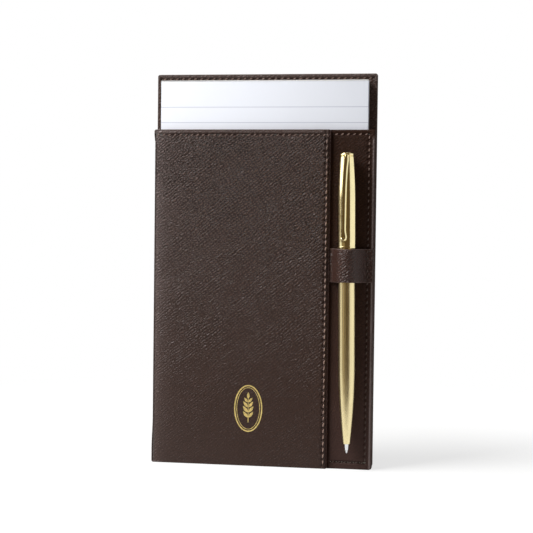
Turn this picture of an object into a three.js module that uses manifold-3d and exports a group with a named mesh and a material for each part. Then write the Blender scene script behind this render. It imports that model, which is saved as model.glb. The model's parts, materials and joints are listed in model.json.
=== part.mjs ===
// A leather note holder that stands on its lower edge: a leather-covered back board, a pocket in front of it
// that holds a note pad, and a slim twist-action pen in a loop on the pocket's narrow right-hand panel.
// Millimetres. X runs to the right, Y away from the viewer and Z up. The origin is the middle of the base.
import * as THREE from "three";
import { mergeVertices } from "three/addons/utils/BufferGeometryUtils.js";
import Module from "manifold-3d";

const wasm = await Module();
wasm.setup();

// Gaps that the whole object shares
const glueLine = 0.1; // between layers that are glued or stitched together
const seatGap = 0.3; // between a piece and the seat that stops or carries it
const pressGap = 0.2; // between a pressed piece of the pen and its bore
const overrun = 2; // how far a cut runs past the faces that it opens

// The back board: a stiff board in leather that is turned over its edges, with a lining inside the hems
const board = {
  width: 105,
  height: 184,
  cornerRadius: 1.2,
  edgeRadius: 0.5,
  core: 1.2,
  leather: 0.8,
  hem: 12,
  liningMargin: 0.4,
  mitreSlit: 0.3,
  mitreInset: 1.5,
};

// The pocket: a front wall on a U of side and bottom boards
const pocket = {
  height: 157.2,
  depth: 6.7,
  leftInset: 1.1,
  rightInset: 0.1,
  lip: 2.3,
  core: 0.8,
  lining: 0.4,
  leather: 0.7,
  hem: 10,
  cornerRadius: 0.9,
  edgeRadius: 0.35,
  sideBoard: 1,
  sideLeather: 0.7,
  sideEdgeRadius: 0.3,
  floorBoard: 3.2,
  baseLeather: 0.8,
};

// The padded main panel, sewn on the front wall
const mainPanel = {
  width: 84.2,
  padding: 0.9,
  leather: 0.7,
  cornerRadius: 1.1,
  edgeRadius: 0.75,
};

// The pen loop: a band whose left tail is caught under the main panel and whose right tail is sewn on the edge
const loop = {
  mouthDrop: 54.9, // from the pocket's mouth to the band's upper edge
  height: 15.5,
  thickness: 0.9,
  penFromMainPanel: 7.8, // from the main panel's edge to the pen's axis, at half the loop's height
  ease: 0.25, // room round the pen's lower barrel
  leftFoot: 1.1, // from the main panel's edge to the band's bend
  rightFoot: 8, // from the pen's axis to the band's bend
  bend: 1.3,
  leftTail: 4.6,
  rightMargin: 0.3,
  notchGap: 0.35,
};

// The note pad: ruled sheets on a backing card, glued along the top
const pad = {
  sheets: 5.3,
  card: 0.6,
  glueEdge: 0.4,
  leftClearance: 0.4,
  rightClearance: 1.8,
  rearClearance: 0.35,
  topMargin: 3.6, // from the back board's upper edge
};

// The pen, measured along its own axis from the point of the ball
const pen = {
  lean: 0.69, // degrees, its top towards the main panel
  panelClearance: 0.3,
  rim: 94.35, // lower end of the upper barrel
  upperLength: 42.05, // of the upper barrel
  upperRadius: 4.22,
  upperWall: 0.7,
  headRadius: 3.35,
  headTaper: 20,
  headTaperPower: 1.8,
  rimChamfer: 0.25,
  rimGroove: 0.18,
  rimBand: 0.8,
  lowerRadius: 3.85,
  lowerWall: 0.7,
  noseStart: 4.35,
  noseRadius: 1.6,
  noseLength: 38,
  nosePower: 2.1,
  capHeight: 1.6,
  capDome: 0.8,
  capPlug: 5,
};

// The clip: a narrow strip that leaves a slot under the end cap and ends in a rounded, turned-up tongue
const clip = {
  thickness: 0.6,
  turn: 7, // degrees about the pen's axis, away from straight forward
  skew: 2.3, // degrees that the strip leans sideways from its slot
  tabWidth: 1.7,
  tabReach: 1.3, // how far the tab lies inside the head
  shoulderWidth: 2.15,
  shoulderDrop: 2.6,
  neckWidth: 1.85,
  tongueWidth: 3.15,
  tongueLength: 4.6,
  tongueBendShare: 0.25, // of the tip's lift, where the tongue starts to turn up
  endAboveRim: 3.6,
  standOff: 1.1, // widest gap between the strip and the barrel
  tipLift: 1.1,
};

// The twist mechanism inside the upper barrel, and the refill that it moves
const mechanism = {
  stroke: 5,
  turn: 180, // degrees of twist for the whole stroke
  camLength: 20,
  camStart: 3.6, // above the rim
  camWall: 0.6,
  sleeveWall: 0.4,
  sleeveGrip: 9, // length of the sleeve's collar in the lower barrel
  sleeveTop: 23.4, // above the rim
  runningGap: 0.3,
  pinRadius: 0.5,
  pinGap: 0.25,
  pinHeight: 9.6, // above the rim, with the point out
  carrierTop: 17.6, // above the rim
  spigotRadius: 0.85,
  spigotLength: 4,
};
const refill = {
  radius: 1.5,
  wall: 0.4,
  tubeStart: 14,
  pointRadius: 1.05,
  pointCone: 4,
  ballRadius: 0.42,
  shankRadius: 0.85,
  shankLength: 4,
  pointGap: 0.25,
  boreGap: 0.35,
  boreTaper: 3,
};

// How finely round forms are cut
const roundSteps = 32;
const noseSteps = 10;
const headSteps = 7;
const cornerSteps = 3;
const edgeSteps = 2;
const bandSteps = 3;
const clipSteps = 26;
const clipCornerSteps = 5;
const camSteps = 22;
const camSides = 10;

// Planes from back to front, and the edges of the main parts
const backThickness = 2 * board.leather + board.core + 2 * glueLine;
const wallThickness = pocket.lining + pocket.core + pocket.leather + 2 * glueLine;
const panelThickness = mainPanel.padding + mainPanel.leather + 2 * glueLine;
const baseDepth = backThickness + pocket.depth + wallThickness + panelThickness;
const boardRear = baseDepth / 2;
const boardFront = boardRear - backThickness;
const wallRear = boardFront - pocket.depth;
const wallFront = wallRear - wallThickness;
const boardRight = board.width / 2;
const boardLeft = -boardRight;
const pocketLeft = boardLeft + pocket.leftInset;
const pocketRight = boardRight - pocket.rightInset;
const mainPanelRight = pocketLeft + mainPanel.width;
const sideTop = pocket.height - pocket.lip;
const sideWidth = pocket.sideLeather + glueLine + pocket.sideBoard;
const floorTop = pocket.baseLeather + glueLine + pocket.floorBoard;

// The pen's place: its rim stops on the loop's upper edge
const penX = mainPanelRight + loop.penFromMainPanel;
const penY = wallFront - pen.panelClearance - pen.upperRadius;
const leanAngle = THREE.MathUtils.degToRad(pen.lean);
const headEnd = pen.rim + pen.upperLength;
const loopTop = pocket.height - loop.mouthDrop;
const loopBottom = loopTop - loop.height;
const penTipZ = loopTop + seatGap - pen.rim * Math.cos(leanAngle);
const penTipX = penX + ((loopTop + loopBottom) / 2 - penTipZ) * Math.tan(leanAngle);

const colours = {
  leather: { color: 0x43362f, roughness: 0.55, metalness: 0 },
  lining: { color: 0x3b2f2a, roughness: 0.9, metalness: 0 },
  board: { color: 0x8d7f6d, roughness: 0.9, metalness: 0 },
  padding: { color: 0x5c5550, roughness: 0.95, metalness: 0 },
  paper: { color: 0xf0f1f7, roughness: 0.85, metalness: 0 },
  card: { color: 0xb3a58f, roughness: 0.9, metalness: 0 },
  glue: { color: 0xf2f2ee, roughness: 0.5, metalness: 0 },
  brass: { color: 0xd2b26a, roughness: 0.2, metalness: 1 },
  steel: { color: 0xc9ccce, roughness: 0.25, metalness: 1 },
  ink: { color: 0x4a5f8a, roughness: 0.4, metalness: 0 },
};

function named(name, geometry, look) {
  const mesh = new THREE.Mesh(geometry, new THREE.MeshStandardMaterial(look));
  mesh.name = name;
  return mesh;
}

// A closed geometry as a solid that can be joined and cut.
function solid(geometry) {
  const bare = geometry.clone();
  bare.deleteAttribute("normal");
  bare.deleteAttribute("uv");
  const merged = mergeVertices(bare);
  const mesh = new wasm.Mesh({
    numProp: 3,
    vertProperties: merged.attributes.position.array,
    triVerts: new Uint32Array(merged.index.array),
  });
  return new wasm.Manifold(mesh);
}

// The geometry of a solid.
function geometryOf(made) {
  const mesh = made.getMesh();
  const geometry = new THREE.BufferGeometry();
  geometry.setAttribute("position", new THREE.BufferAttribute(mesh.vertProperties, mesh.numProp));
  geometry.setIndex(new THREE.BufferAttribute(mesh.triVerts, 1));
  geometry.computeVertexNormals();
  return geometry;
}

// An upright rectangle in X and Z with rounded corners.
function rectangle({ left, right, bottom, top, corner = 0 }) {
  const shape = new THREE.Shape();
  if (corner === 0) {
    shape.moveTo(left, bottom).lineTo(right, bottom).lineTo(right, top).lineTo(left, top);
    return shape;
  }
  shape.moveTo(left + corner, bottom).lineTo(right - corner, bottom);
  shape.absarc(right - corner, bottom + corner, corner, -Math.PI / 2, 0);
  shape.absarc(right - corner, top - corner, corner, 0, Math.PI / 2);
  shape.absarc(left + corner, top - corner, corner, Math.PI / 2, Math.PI);
  shape.absarc(left + corner, bottom + corner, corner, Math.PI, 1.5 * Math.PI);
  return shape;
}

// A sheet or board that stands in X and Z, from its rear plane to its front plane, with rounded edges.
function sheet({ rear, front, edge = 0, ...outline }) {
  const geometry = new THREE.ExtrudeGeometry(rectangle(outline), {
    depth: rear - front - 2 * edge,
    curveSegments: cornerSteps,
    bevelEnabled: edge > 0,
    bevelThickness: edge,
    bevelSize: edge,
    bevelOffset: -edge,
    bevelSegments: edgeSteps,
  });
  return geometry.translate(0, 0, edge).rotateX(Math.PI / 2).translate(0, rear, 0);
}

// A closed outline of even thickness along a line of points.
function ribbon(points, thickness) {
  const half = thickness / 2;
  const outer = [];
  const inner = [];
  points.forEach((point, i) => {
    const before = points[Math.max(i - 1, 0)];
    const after = points[Math.min(i + 1, points.length - 1)];
    const along = new THREE.Vector2().subVectors(after, before).normalize();
    const across = new THREE.Vector2(-along.y, along.x).multiplyScalar(half);
    outer.push(point.clone().add(across));
    inner.push(point.clone().sub(across));
  });
  return new THREE.Shape([...inner, ...outer.reverse()]);
}

// A body turned about the Z axis. The profile holds [radius, height] pairs, anticlockwise with the axis at left.
function turned(profile) {
  const points = profile.map(([radius, height]) => new THREE.Vector2(radius, height));
  return new THREE.LatheGeometry(points, roundSteps).rotateX(Math.PI / 2);
}

// A turned body with a bore: the profile is closed on itself.
function turnedTube(profile) {
  return turned([...profile, profile[0]]);
}

// Places along the profile of a barrel end: the radius grows from the end's to the body's on a power curve.
function barrelEnd({ endRadius, bodyRadius, length, power, steps }) {
  return Array.from({ length: steps + 1 }, (_, i) => {
    const share = i / steps;
    const radius = endRadius + (bodyRadius - endRadius) * (1 - (1 - share) ** power);
    return [radius, share * length];
  });
}

// The back board.
function makeBoard() {
  const coreRear = boardRear - board.leather - glueLine;
  const coreFront = coreRear - board.core;
  const outline = { left: boardLeft, right: boardRight, bottom: 0, top: board.height };
  const turnIn = board.leather + glueLine;
  const window = {
    left: boardLeft + board.hem,
    right: boardRight - board.hem,
    bottom: board.hem,
    top: board.height - board.hem,
  };

  const skin = sheet({
    ...outline,
    corner: board.cornerRadius,
    edge: board.edgeRadius,
    rear: boardRear,
    front: boardFront,
  });
  const coreRoom = sheet({
    left: boardLeft + board.leather,
    right: boardRight - board.leather,
    bottom: board.leather,
    top: board.height - board.leather,
    rear: boardRear - board.leather,
    front: boardFront + board.leather,
  });
  const opening = sheet({ ...window, rear: boardRear + overrun, front: coreRear });
  let cover = solid(skin).subtract(solid(coreRoom)).subtract(solid(opening));

  // The hems meet in a slit along each corner's diagonal.
  const slitLength = (board.hem - board.mitreInset) * Math.SQRT2;
  const slitMiddle = (board.hem + board.mitreInset) / 2;
  for (const sideX of [-1, 1]) {
    for (const sideZ of [-1, 1]) {
      const slit = new THREE.BoxGeometry(slitLength, 2 * board.leather, board.mitreSlit);
      slit.rotateY(-sideX * sideZ * (Math.PI / 4));
      const middleZ = sideZ > 0 ? board.height - slitMiddle : slitMiddle;
      slit.translate(sideX * (boardRight - slitMiddle), boardRear, middleZ);
      cover = cover.subtract(solid(slit));
    }
  }

  const core = sheet({
    left: boardLeft + turnIn,
    right: boardRight - turnIn,
    bottom: turnIn,
    top: board.height - turnIn,
    rear: coreRear,
    front: coreFront,
  });
  const lining = sheet({
    left: window.left + board.liningMargin,
    right: window.right - board.liningMargin,
    bottom: window.bottom + board.liningMargin,
    top: window.top - board.liningMargin,
    rear: boardRear,
    front: coreRear + glueLine,
  });
  return [
    named("back_cover_leather", geometryOf(cover), colours.leather),
    named("back_board_core", core, colours.board),
    named("back_lining", lining, colours.lining),
  ];
}

// The side and bottom boards that set the pocket's depth, and the leather outside them.
function makePocketFrame() {
  const rear = boardFront - glueLine;
  const front = wallRear + glueLine;
  const edge = pocket.sideEdgeRadius;
  const sides = [
    { name: "left", outer: pocketLeft, inward: 1 },
    { name: "right", outer: pocketRight, inward: -1 },
  ];
  const meshes = sides.flatMap(({ name, outer, inward }) => {
    const leatherInner = outer + inward * pocket.sideLeather;
    const boardOuter = leatherInner + inward * glueLine;
    const boardInner = boardOuter + inward * pocket.sideBoard;
    const leather = sheet({
      left: Math.min(outer, leatherInner),
      right: Math.max(outer, leatherInner),
      bottom: 0,
      top: sideTop,
      rear,
      front,
      edge,
    });
    const stiffener = sheet({
      left: Math.min(boardOuter, boardInner),
      right: Math.max(boardOuter, boardInner),
      bottom: pocket.baseLeather + glueLine,
      top: sideTop,
      rear,
      front,
    });
    return [
      named(`${name}_side_leather`, leather, colours.leather),
      named(`${name}_side_board`, stiffener, colours.board),
    ];
  });
  const base = sheet({
    left: pocketLeft + pocket.sideLeather + glueLine,
    right: pocketRight - pocket.sideLeather - glueLine,
    bottom: 0,
    top: pocket.baseLeather,
    rear,
    front,
  });
  const floor = sheet({
    left: pocketLeft + sideWidth + glueLine,
    right: pocketRight - sideWidth - glueLine,
    bottom: pocket.baseLeather + glueLine,
    top: floorTop,
    rear,
    front,
  });
  return [
    ...meshes,
    named("base_leather", base, colours.leather),
    named("pocket_floor_board", floor, colours.board),
  ];
}

// The pocket's front wall: a board in leather that is turned over every edge and hemmed inside the mouth.
function makePocketWall() {
  const coreRear = wallRear - pocket.lining - glueLine;
  const coreFront = coreRear - pocket.core;
  const turnIn = pocket.leather + glueLine;
  const hemBottom = pocket.height - pocket.hem;
  const inside = {
    left: pocketLeft + pocket.leather,
    right: pocketRight - pocket.leather,
    bottom: pocket.leather,
  };

  const skin = sheet({
    left: pocketLeft,
    right: pocketRight,
    bottom: 0,
    top: pocket.height,
    corner: pocket.cornerRadius,
    edge: pocket.edgeRadius,
    rear: wallRear,
    front: wallFront,
  });
  const coreRoom = sheet({
    ...inside,
    top: pocket.height - pocket.leather,
    rear: wallRear - pocket.lining,
    front: wallFront + pocket.leather,
  });
  const opening = sheet({ ...inside, top: hemBottom, rear: wallRear + overrun, front: coreRear });
  const cover = solid(skin).subtract(solid(coreRoom)).subtract(solid(opening));

  const core = sheet({
    left: pocketLeft + turnIn,
    right: pocketRight - turnIn,
    bottom: turnIn,
    top: pocket.height - turnIn,
    rear: coreRear,
    front: coreFront,
  });
  const lining = sheet({
    left: pocketLeft + turnIn,
    right: pocketRight - turnIn,
    bottom: turnIn,
    top: hemBottom - seatGap,
    rear: wallRear,
    front: coreRear + glueLine,
  });
  return [
    named("pocket_front_leather", geometryOf(cover), colours.leather),
    named("pocket_board", core, colours.board),
    named("pocket_lining", lining, colours.lining),
  ];
}

// The padded main panel, with a notch behind its right-hand edge for the loop's left tail.
function makeMainPanel() {
  const rear = wallFront - glueLine;
  const front = rear - glueLine - mainPanel.padding - mainPanel.leather;
  const paddingFront = rear - mainPanel.padding;
  const turnIn = mainPanel.leather + glueLine;
  const notch = sheet({
    left: mainPanelRight + loop.leftFoot - loop.leftTail - loop.notchGap,
    right: mainPanelRight + overrun,
    bottom: loopBottom - loop.notchGap,
    top: loopTop + loop.notchGap,
    rear: rear + overrun,
    front: wallFront - glueLine - loop.thickness,
  });

  const skin = sheet({
    left: pocketLeft,
    right: mainPanelRight,
    bottom: 0,
    top: pocket.height,
    corner: mainPanel.cornerRadius,
    edge: mainPanel.edgeRadius,
    rear,
    front,
  });
  const room = sheet({
    left: pocketLeft + mainPanel.leather,
    right: mainPanelRight - mainPanel.leather,
    bottom: mainPanel.leather,
    top: pocket.height - mainPanel.leather,
    rear: rear + overrun,
    front: paddingFront - glueLine,
  });
  const padding = sheet({
    left: pocketLeft + turnIn,
    right: mainPanelRight - turnIn,
    bottom: turnIn,
    top: pocket.height - turnIn,
    rear,
    front: paddingFront,
  });
  const cover = solid(skin).subtract(solid(room)).subtract(solid(notch));
  const cutPadding = solid(padding).subtract(solid(notch));
  return [
    named("main_panel_leather", geometryOf(cover), colours.leather),
    named("main_panel_padding", geometryOf(cutPadding), colours.padding),
  ];
}

// The point where a line from a foot touches the band's circle round the pen.
function touchPoint(foot, centre, radius, side) {
  const out = new THREE.Vector2().subVectors(foot, centre);
  const angle = out.angle() + side * Math.acos(radius / out.length());
  const reach = new THREE.Vector2(Math.cos(angle), Math.sin(angle)).multiplyScalar(radius);
  return { angle, point: reach.add(centre) };
}

// The pen loop's band, as seen from above, drawn up along Z.
function makeLoop() {
  const bandY = wallFront - glueLine / 2 - loop.thickness / 2;
  const radius = pen.lowerRadius + loop.ease + loop.thickness / 2;
  const centre = new THREE.Vector2(penX, penY);
  const leftFoot = new THREE.Vector2(mainPanelRight + loop.leftFoot, bandY);
  const rightFoot = new THREE.Vector2(penX + loop.rightFoot, bandY);
  const leftEnd = new THREE.Vector2(leftFoot.x - loop.leftTail, bandY);
  const rightEnd = new THREE.Vector2(pocketRight - loop.rightMargin, bandY);
  const left = touchPoint(leftFoot, centre, radius, 1);
  const right = touchPoint(rightFoot, centre, radius, -1);

  const towards = (from, to) =>
    new THREE.Vector2().subVectors(to, from).setLength(loop.bend).add(from);
  const path = new THREE.CurvePath();
  const leftBend = [towards(leftFoot, leftEnd), towards(leftFoot, left.point)];
  const rightBend = [towards(rightFoot, right.point), towards(rightFoot, rightEnd)];
  path.add(new THREE.LineCurve(leftEnd, leftBend[0]));
  path.add(new THREE.QuadraticBezierCurve(leftBend[0], leftFoot, leftBend[1]));
  path.add(new THREE.LineCurve(leftBend[1], left.point));
  path.add(new THREE.EllipseCurve(centre.x, centre.y, radius, radius, left.angle, right.angle, false));
  path.add(new THREE.LineCurve(right.point, rightBend[0]));
  path.add(new THREE.QuadraticBezierCurve(rightBend[0], rightFoot, rightBend[1]));
  path.add(new THREE.LineCurve(rightBend[1], rightEnd));
  const points = path.getPoints(2 * bandSteps);

  const band = new THREE.ExtrudeGeometry(ribbon(points, loop.thickness), {
    depth: loop.height,
    bevelEnabled: false,
  });
  return named("pen_loop", band.translate(0, 0, loopBottom), colours.leather);
}

// The note pad.
function makePad() {
  const left = pocketLeft + sideWidth + pad.leftClearance;
  const right = pocketRight - sideWidth - pad.rightClearance;
  const bottom = floorTop + glueLine;
  const top = board.height - pad.topMargin;
  const leafTop = top - pad.glueEdge - glueLine;
  const rear = boardFront - pad.rearClearance;
  const sheetsRear = rear - pad.card - glueLine;
  const front = sheetsRear - pad.sheets;
  const card = sheet({ left, right, bottom, top: leafTop, rear, front: rear - pad.card });
  const sheets = sheet({ left, right, bottom, top: leafTop, rear: sheetsRear, front });
  const edge = sheet({ left, right, bottom: top - pad.glueEdge, top, rear, front });
  return [
    named("pad_backing_card", card, colours.card),
    named("pad_sheets", sheets, colours.paper),
    named("pad_glue_edge", edge, colours.glue),
  ];
}

// The upper barrel and the end cap over it.
function makeUpperBarrel() {
  const bore = pen.upperRadius - pen.upperWall;
  const camTop = pen.rim + mechanism.camStart + mechanism.camLength + pressGap;
  const headBore = pen.headRadius - pen.upperWall;
  const head = barrelEnd({
    endRadius: pen.headRadius,
    bodyRadius: pen.upperRadius,
    length: pen.headTaper,
    power: pen.headTaperPower,
    steps: headSteps,
  }).map(([radius, down]) => [radius, headEnd - down]);
  const bandTop = pen.rim + pen.rimBand;
  const barrel = turnedTube([
    [bore, pen.rim],
    [pen.upperRadius - pen.rimChamfer, pen.rim],
    [pen.upperRadius, pen.rim + pen.rimChamfer],
    [pen.upperRadius, bandTop],
    [pen.upperRadius - pen.rimGroove, bandTop + pen.rimGroove],
    [pen.upperRadius, bandTop + 2 * pen.rimGroove],
    ...head.reverse(),
    [headBore, headEnd],
    [headBore, camTop + pen.upperWall],
    [bore, camTop],
  ]);

  const capBottom = headEnd + glueLine;
  const capTop = headEnd + pen.capHeight;
  const plugRadius = headBore - pressGap;
  const domeStart = capTop - pen.capDome;
  const quarter = Math.PI / 2;
  const dome = Array.from({ length: edgeSteps + 1 }, (_, i) => {
    const angle = (i / edgeSteps) * quarter;
    const inset = pen.capDome * (1 - Math.cos(angle));
    return [pen.headRadius - inset, domeStart + pen.capDome * Math.sin(angle)];
  });
  const cap = turned([
    [0, capBottom - pen.capPlug],
    [plugRadius, capBottom - pen.capPlug],
    [plugRadius, capBottom],
    [pen.headRadius, capBottom],
    ...dome,
    [0, capTop],
  ]);
  const slotHeight = clip.thickness + 2 * pressGap;
  const slotInner = pen.headRadius - clip.tabReach - pressGap;
  const slot = new THREE.BoxGeometry(clip.tabWidth + 2 * pressGap, 2 * pen.headRadius, slotHeight);
  slot.translate(0, -slotInner - pen.headRadius, capBottom + slotHeight / 2);
  slot.rotateZ(THREE.MathUtils.degToRad(clip.turn));
  return [
    named("pen_upper_barrel", barrel, colours.brass),
    named("pen_end_cap", geometryOf(solid(cap).subtract(solid(slot))), colours.brass),
  ];
}

// The clip: its outline from the front and its line from the side, each drawn out, and what both share.
function makeClip() {
  const tabZ = headEnd + glueLine + pressGap + clip.thickness / 2;
  const shoulderZ = tabZ - clip.shoulderDrop;
  const endZ = pen.rim + clip.endAboveRim;
  const tongueRadius = clip.tongueWidth / 2;
  const tongueZ = endZ + tongueRadius;
  const neckZ = endZ + clip.tongueLength;
  const flareZ = (tabZ + shoulderZ) / 2;
  const outline = new THREE.Shape();
  outline.moveTo(-clip.tabWidth / 2, tabZ + clip.thickness);
  outline.lineTo(-clip.tabWidth / 2, flareZ);
  outline.quadraticCurveTo(-clip.shoulderWidth / 2, flareZ, -clip.shoulderWidth / 2, shoulderZ);
  outline.lineTo(-clip.neckWidth / 2, neckZ);
  outline.quadraticCurveTo(-clip.neckWidth / 2, tongueZ + tongueRadius, -tongueRadius, tongueZ);
  outline.absarc(0, tongueZ, tongueRadius, Math.PI, 2 * Math.PI);
  outline.quadraticCurveTo(clip.neckWidth / 2, tongueZ + tongueRadius, clip.neckWidth / 2, neckZ);
  outline.lineTo(clip.shoulderWidth / 2, shoulderZ);
  outline.quadraticCurveTo(clip.shoulderWidth / 2, flareZ, clip.tabWidth / 2, flareZ);
  outline.lineTo(clip.tabWidth / 2, tabZ + clip.thickness);
  const reach = 2 * (pen.upperRadius + clip.standOff + clip.tipLift);
  const front = new THREE.ExtrudeGeometry(outline, {
    depth: reach,
    curveSegments: clipCornerSteps,
    bevelEnabled: false,
  });
  front.rotateX(Math.PI / 2);

  const near = pen.upperRadius + seatGap + clip.thickness / 2;
  const far = near + clip.standOff - seatGap;
  const tabInner = pen.headRadius - clip.tabReach;
  const bend = clip.tongueBendShare;
  const side = new THREE.SplineCurve([
    new THREE.Vector2(tabInner, tabZ),
    new THREE.Vector2(pen.headRadius + clip.thickness / 2, tabZ),
    new THREE.Vector2((pen.headRadius + near) / 2 + clip.thickness / 2, tabZ - clip.thickness),
    new THREE.Vector2(near, shoulderZ),
    new THREE.Vector2(far, (2 * shoulderZ + neckZ) / 3),
    new THREE.Vector2(far, (shoulderZ + 2 * neckZ) / 3),
    new THREE.Vector2(near, tongueZ + tongueRadius / 2),
    new THREE.Vector2(near + clip.tipLift * bend, tongueZ - tongueRadius * bend),
    new THREE.Vector2(near + clip.tipLift, endZ),
  ]);
  const line = new THREE.ExtrudeGeometry(ribbon(side.getSpacedPoints(clipSteps), clip.thickness), {
    depth: clip.tongueWidth,
    bevelEnabled: false,
  });
  line.translate(0, 0, -clip.tongueWidth / 2);
  // The drawing's first axis points out of the barrel, towards the viewer, and its second axis up.
  line.applyMatrix4(
    new THREE.Matrix4().makeBasis(
      new THREE.Vector3(0, -1, 0),
      new THREE.Vector3(0, 0, 1),
      new THREE.Vector3(-1, 0, 0),
    ),
  );
  const strip = geometryOf(solid(front).intersect(solid(line)));
  strip.translate(0, 0, -tabZ).rotateY(THREE.MathUtils.degToRad(clip.skew)).translate(0, 0, tabZ);
  strip.rotateZ(THREE.MathUtils.degToRad(clip.turn));
  return named("pen_clip", strip, colours.brass);
}

// The lower barrel: a tube that narrows to the point's bore.
function makeLowerBarrel() {
  const top = pen.rim - seatGap;
  const bore = pen.lowerRadius - pen.lowerWall;
  const refillBore = refill.radius + refill.boreGap;
  const pointBore = refill.pointRadius + refill.pointGap;
  const taperTop = refill.tubeStart - seatGap;
  const noseTop = pen.noseStart + pen.noseLength;
  const nose = barrelEnd({
    endRadius: pen.noseRadius,
    bodyRadius: pen.lowerRadius,
    length: pen.noseLength,
    power: pen.nosePower,
    steps: noseSteps,
  }).map(([radius, up]) => [radius, pen.noseStart + up]);
  const barrel = turnedTube([
    [pointBore, pen.noseStart],
    ...nose,
    [pen.lowerRadius, top],
    [bore, top],
    [bore, noseTop + bore - refillBore],
    [refillBore, noseTop],
    [refillBore, taperTop],
    [pointBore, taperTop - refill.boreTaper],
  ]);
  return named("pen_lower_barrel", barrel, colours.brass);
}

// The twist mechanism: a cam sleeve in the upper barrel, a slotted sleeve on the lower barrel inside it, and a
// carrier whose pin goes through both, so that a half turn draws the refill in by one stroke.
function makeMechanism() {
  const camOuter = pen.upperRadius - pen.upperWall - pressGap;
  const camInner = camOuter - mechanism.camWall;
  const sleeveOuter = camInner - mechanism.runningGap;
  const sleeveInner = sleeveOuter - mechanism.sleeveWall;
  const carrierRadius = sleeveInner - mechanism.runningGap;
  const camBottom = pen.rim + mechanism.camStart;
  const camTop = camBottom + mechanism.camLength;
  const pinZ = pen.rim + mechanism.pinHeight;
  const slotRadius = mechanism.pinRadius + mechanism.pinGap;

  // The cam slot climbs one stroke in the mechanism's turn, and runs on a little at both ends.
  const turn = THREE.MathUtils.degToRad(mechanism.turn);
  const slotMiddle = (camOuter + camInner) / 2;
  const slotOverrun = mechanism.pinGap / slotMiddle + mechanism.pinRadius / slotMiddle;
  const helix = new THREE.Curve();
  helix.getPoint = (share) => {
    const angle = (turn + 2 * slotOverrun) * share - slotOverrun;
    const height = pinZ + (mechanism.stroke * angle) / turn;
    return new THREE.Vector3(slotMiddle * Math.cos(angle), slotMiddle * Math.sin(angle), height);
  };
  const section = new THREE.Shape().absarc(0, 0, slotRadius, 0, 2 * Math.PI);
  const camSlot = new THREE.ExtrudeGeometry(section, {
    steps: camSteps,
    curveSegments: camSides,
    extrudePath: helix,
  });
  const camTube = turnedTube([
    [camInner, camBottom],
    [camOuter, camBottom],
    [camOuter, camTop],
    [camInner, camTop],
  ]);

  const collarTop = pen.rim - 2 * seatGap;
  const collarRadius = pen.lowerRadius - pen.lowerWall - pressGap;
  const sleeveTop = pen.rim + mechanism.sleeveTop;
  const sleeveTube = turnedTube([
    [sleeveInner, collarTop - mechanism.sleeveGrip],
    [collarRadius, collarTop - mechanism.sleeveGrip],
    [collarRadius, collarTop],
    [sleeveOuter, collarTop],
    [sleeveOuter, sleeveTop],
    [sleeveInner, sleeveTop],
  ]);
  const straightSlot = new THREE.BoxGeometry(
    2 * sleeveOuter,
    2 * slotRadius,
    mechanism.stroke + 2 * slotRadius,
  );
  straightSlot.translate(sleeveOuter, 0, pinZ + mechanism.stroke / 2);

  const carrierBottom = pen.rim + seatGap;
  const spigotBottom = carrierBottom - mechanism.spigotLength;
  const carrierTop = pen.rim + mechanism.carrierTop;
  const rod = turned([
    [0, spigotBottom],
    [mechanism.spigotRadius, spigotBottom],
    [mechanism.spigotRadius, carrierBottom],
    [carrierRadius, carrierBottom],
    [carrierRadius, carrierTop],
    [0, carrierTop],
  ]);
  const pinLength = camOuter - mechanism.pinGap;
  const pin = new THREE.CylinderGeometry(mechanism.pinRadius, mechanism.pinRadius, pinLength, roundSteps / 2);
  pin.rotateZ(Math.PI / 2).translate(pinLength / 2, 0, pinZ);
  const cam = solid(camTube).subtract(solid(camSlot));
  const sleeve = solid(sleeveTube).subtract(solid(straightSlot));
  const carrier = solid(rod).add(solid(pin));
  return {
    cam: named("pen_cam_sleeve", geometryOf(cam), colours.brass),
    sleeve: named("pen_slotted_sleeve", geometryOf(sleeve), colours.brass),
    carrier: named("refill_carrier", geometryOf(carrier), colours.steel),
  };
}

// The refill: an ink tube with a cone-shaped point that holds the ball.
function makeRefill() {
  const tubeTop = pen.rim;
  const bore = refill.radius - refill.wall;
  const tube = turnedTube([
    [bore, refill.tubeStart],
    [refill.radius, refill.tubeStart],
    [refill.radius, tubeTop],
    [bore, tubeTop],
  ]);
  const point = turned([
    [0, 0],
    [refill.ballRadius * Math.SQRT1_2, refill.ballRadius * (1 - Math.SQRT1_2)],
    [refill.ballRadius, refill.ballRadius],
    [refill.pointRadius, refill.pointCone],
    [refill.pointRadius, refill.tubeStart - glueLine],
    [refill.shankRadius, refill.tubeStart - glueLine],
    [refill.shankRadius, refill.tubeStart + refill.shankLength],
    [0, refill.tubeStart + refill.shankLength],
  ]);
  return [
    named("refill_tube", tube, colours.ink),
    named("refill_point", point, colours.steel),
  ];
}

// The whole pen leans a little in its loop.
function makePen() {
  const { cam, sleeve, carrier } = makeMechanism();
  const whole = new THREE.Group();
  whole.add(...makeUpperBarrel(), makeClip(), cam);
  whole.add(makeLowerBarrel(), sleeve);
  whole.add(...makeRefill(), carrier);
  whole.position.set(penTipX, penY, penTipZ);
  whole.rotation.y = -leanAngle;
  return whole;
}

const noteHolder = new THREE.Group();
noteHolder.add(...makeBoard(), ...makePocketFrame(), ...makePocketWall(), ...makeMainPanel(), makeLoop());
noteHolder.add(...makePad());
noteHolder.add(makePen());

export default noteHolder;
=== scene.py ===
"""The looks of the leather note holder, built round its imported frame.

Pieces are modelled in millimetres in the frame's own axes, X to the right, Y away from the viewer and Z up, and are
scaled to metres when they are finished.
"""

import json
import math
import random
from typing import Callable, NamedTuple

import bmesh
import bpy
from mathutils import Matrix, Vector, noise


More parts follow.
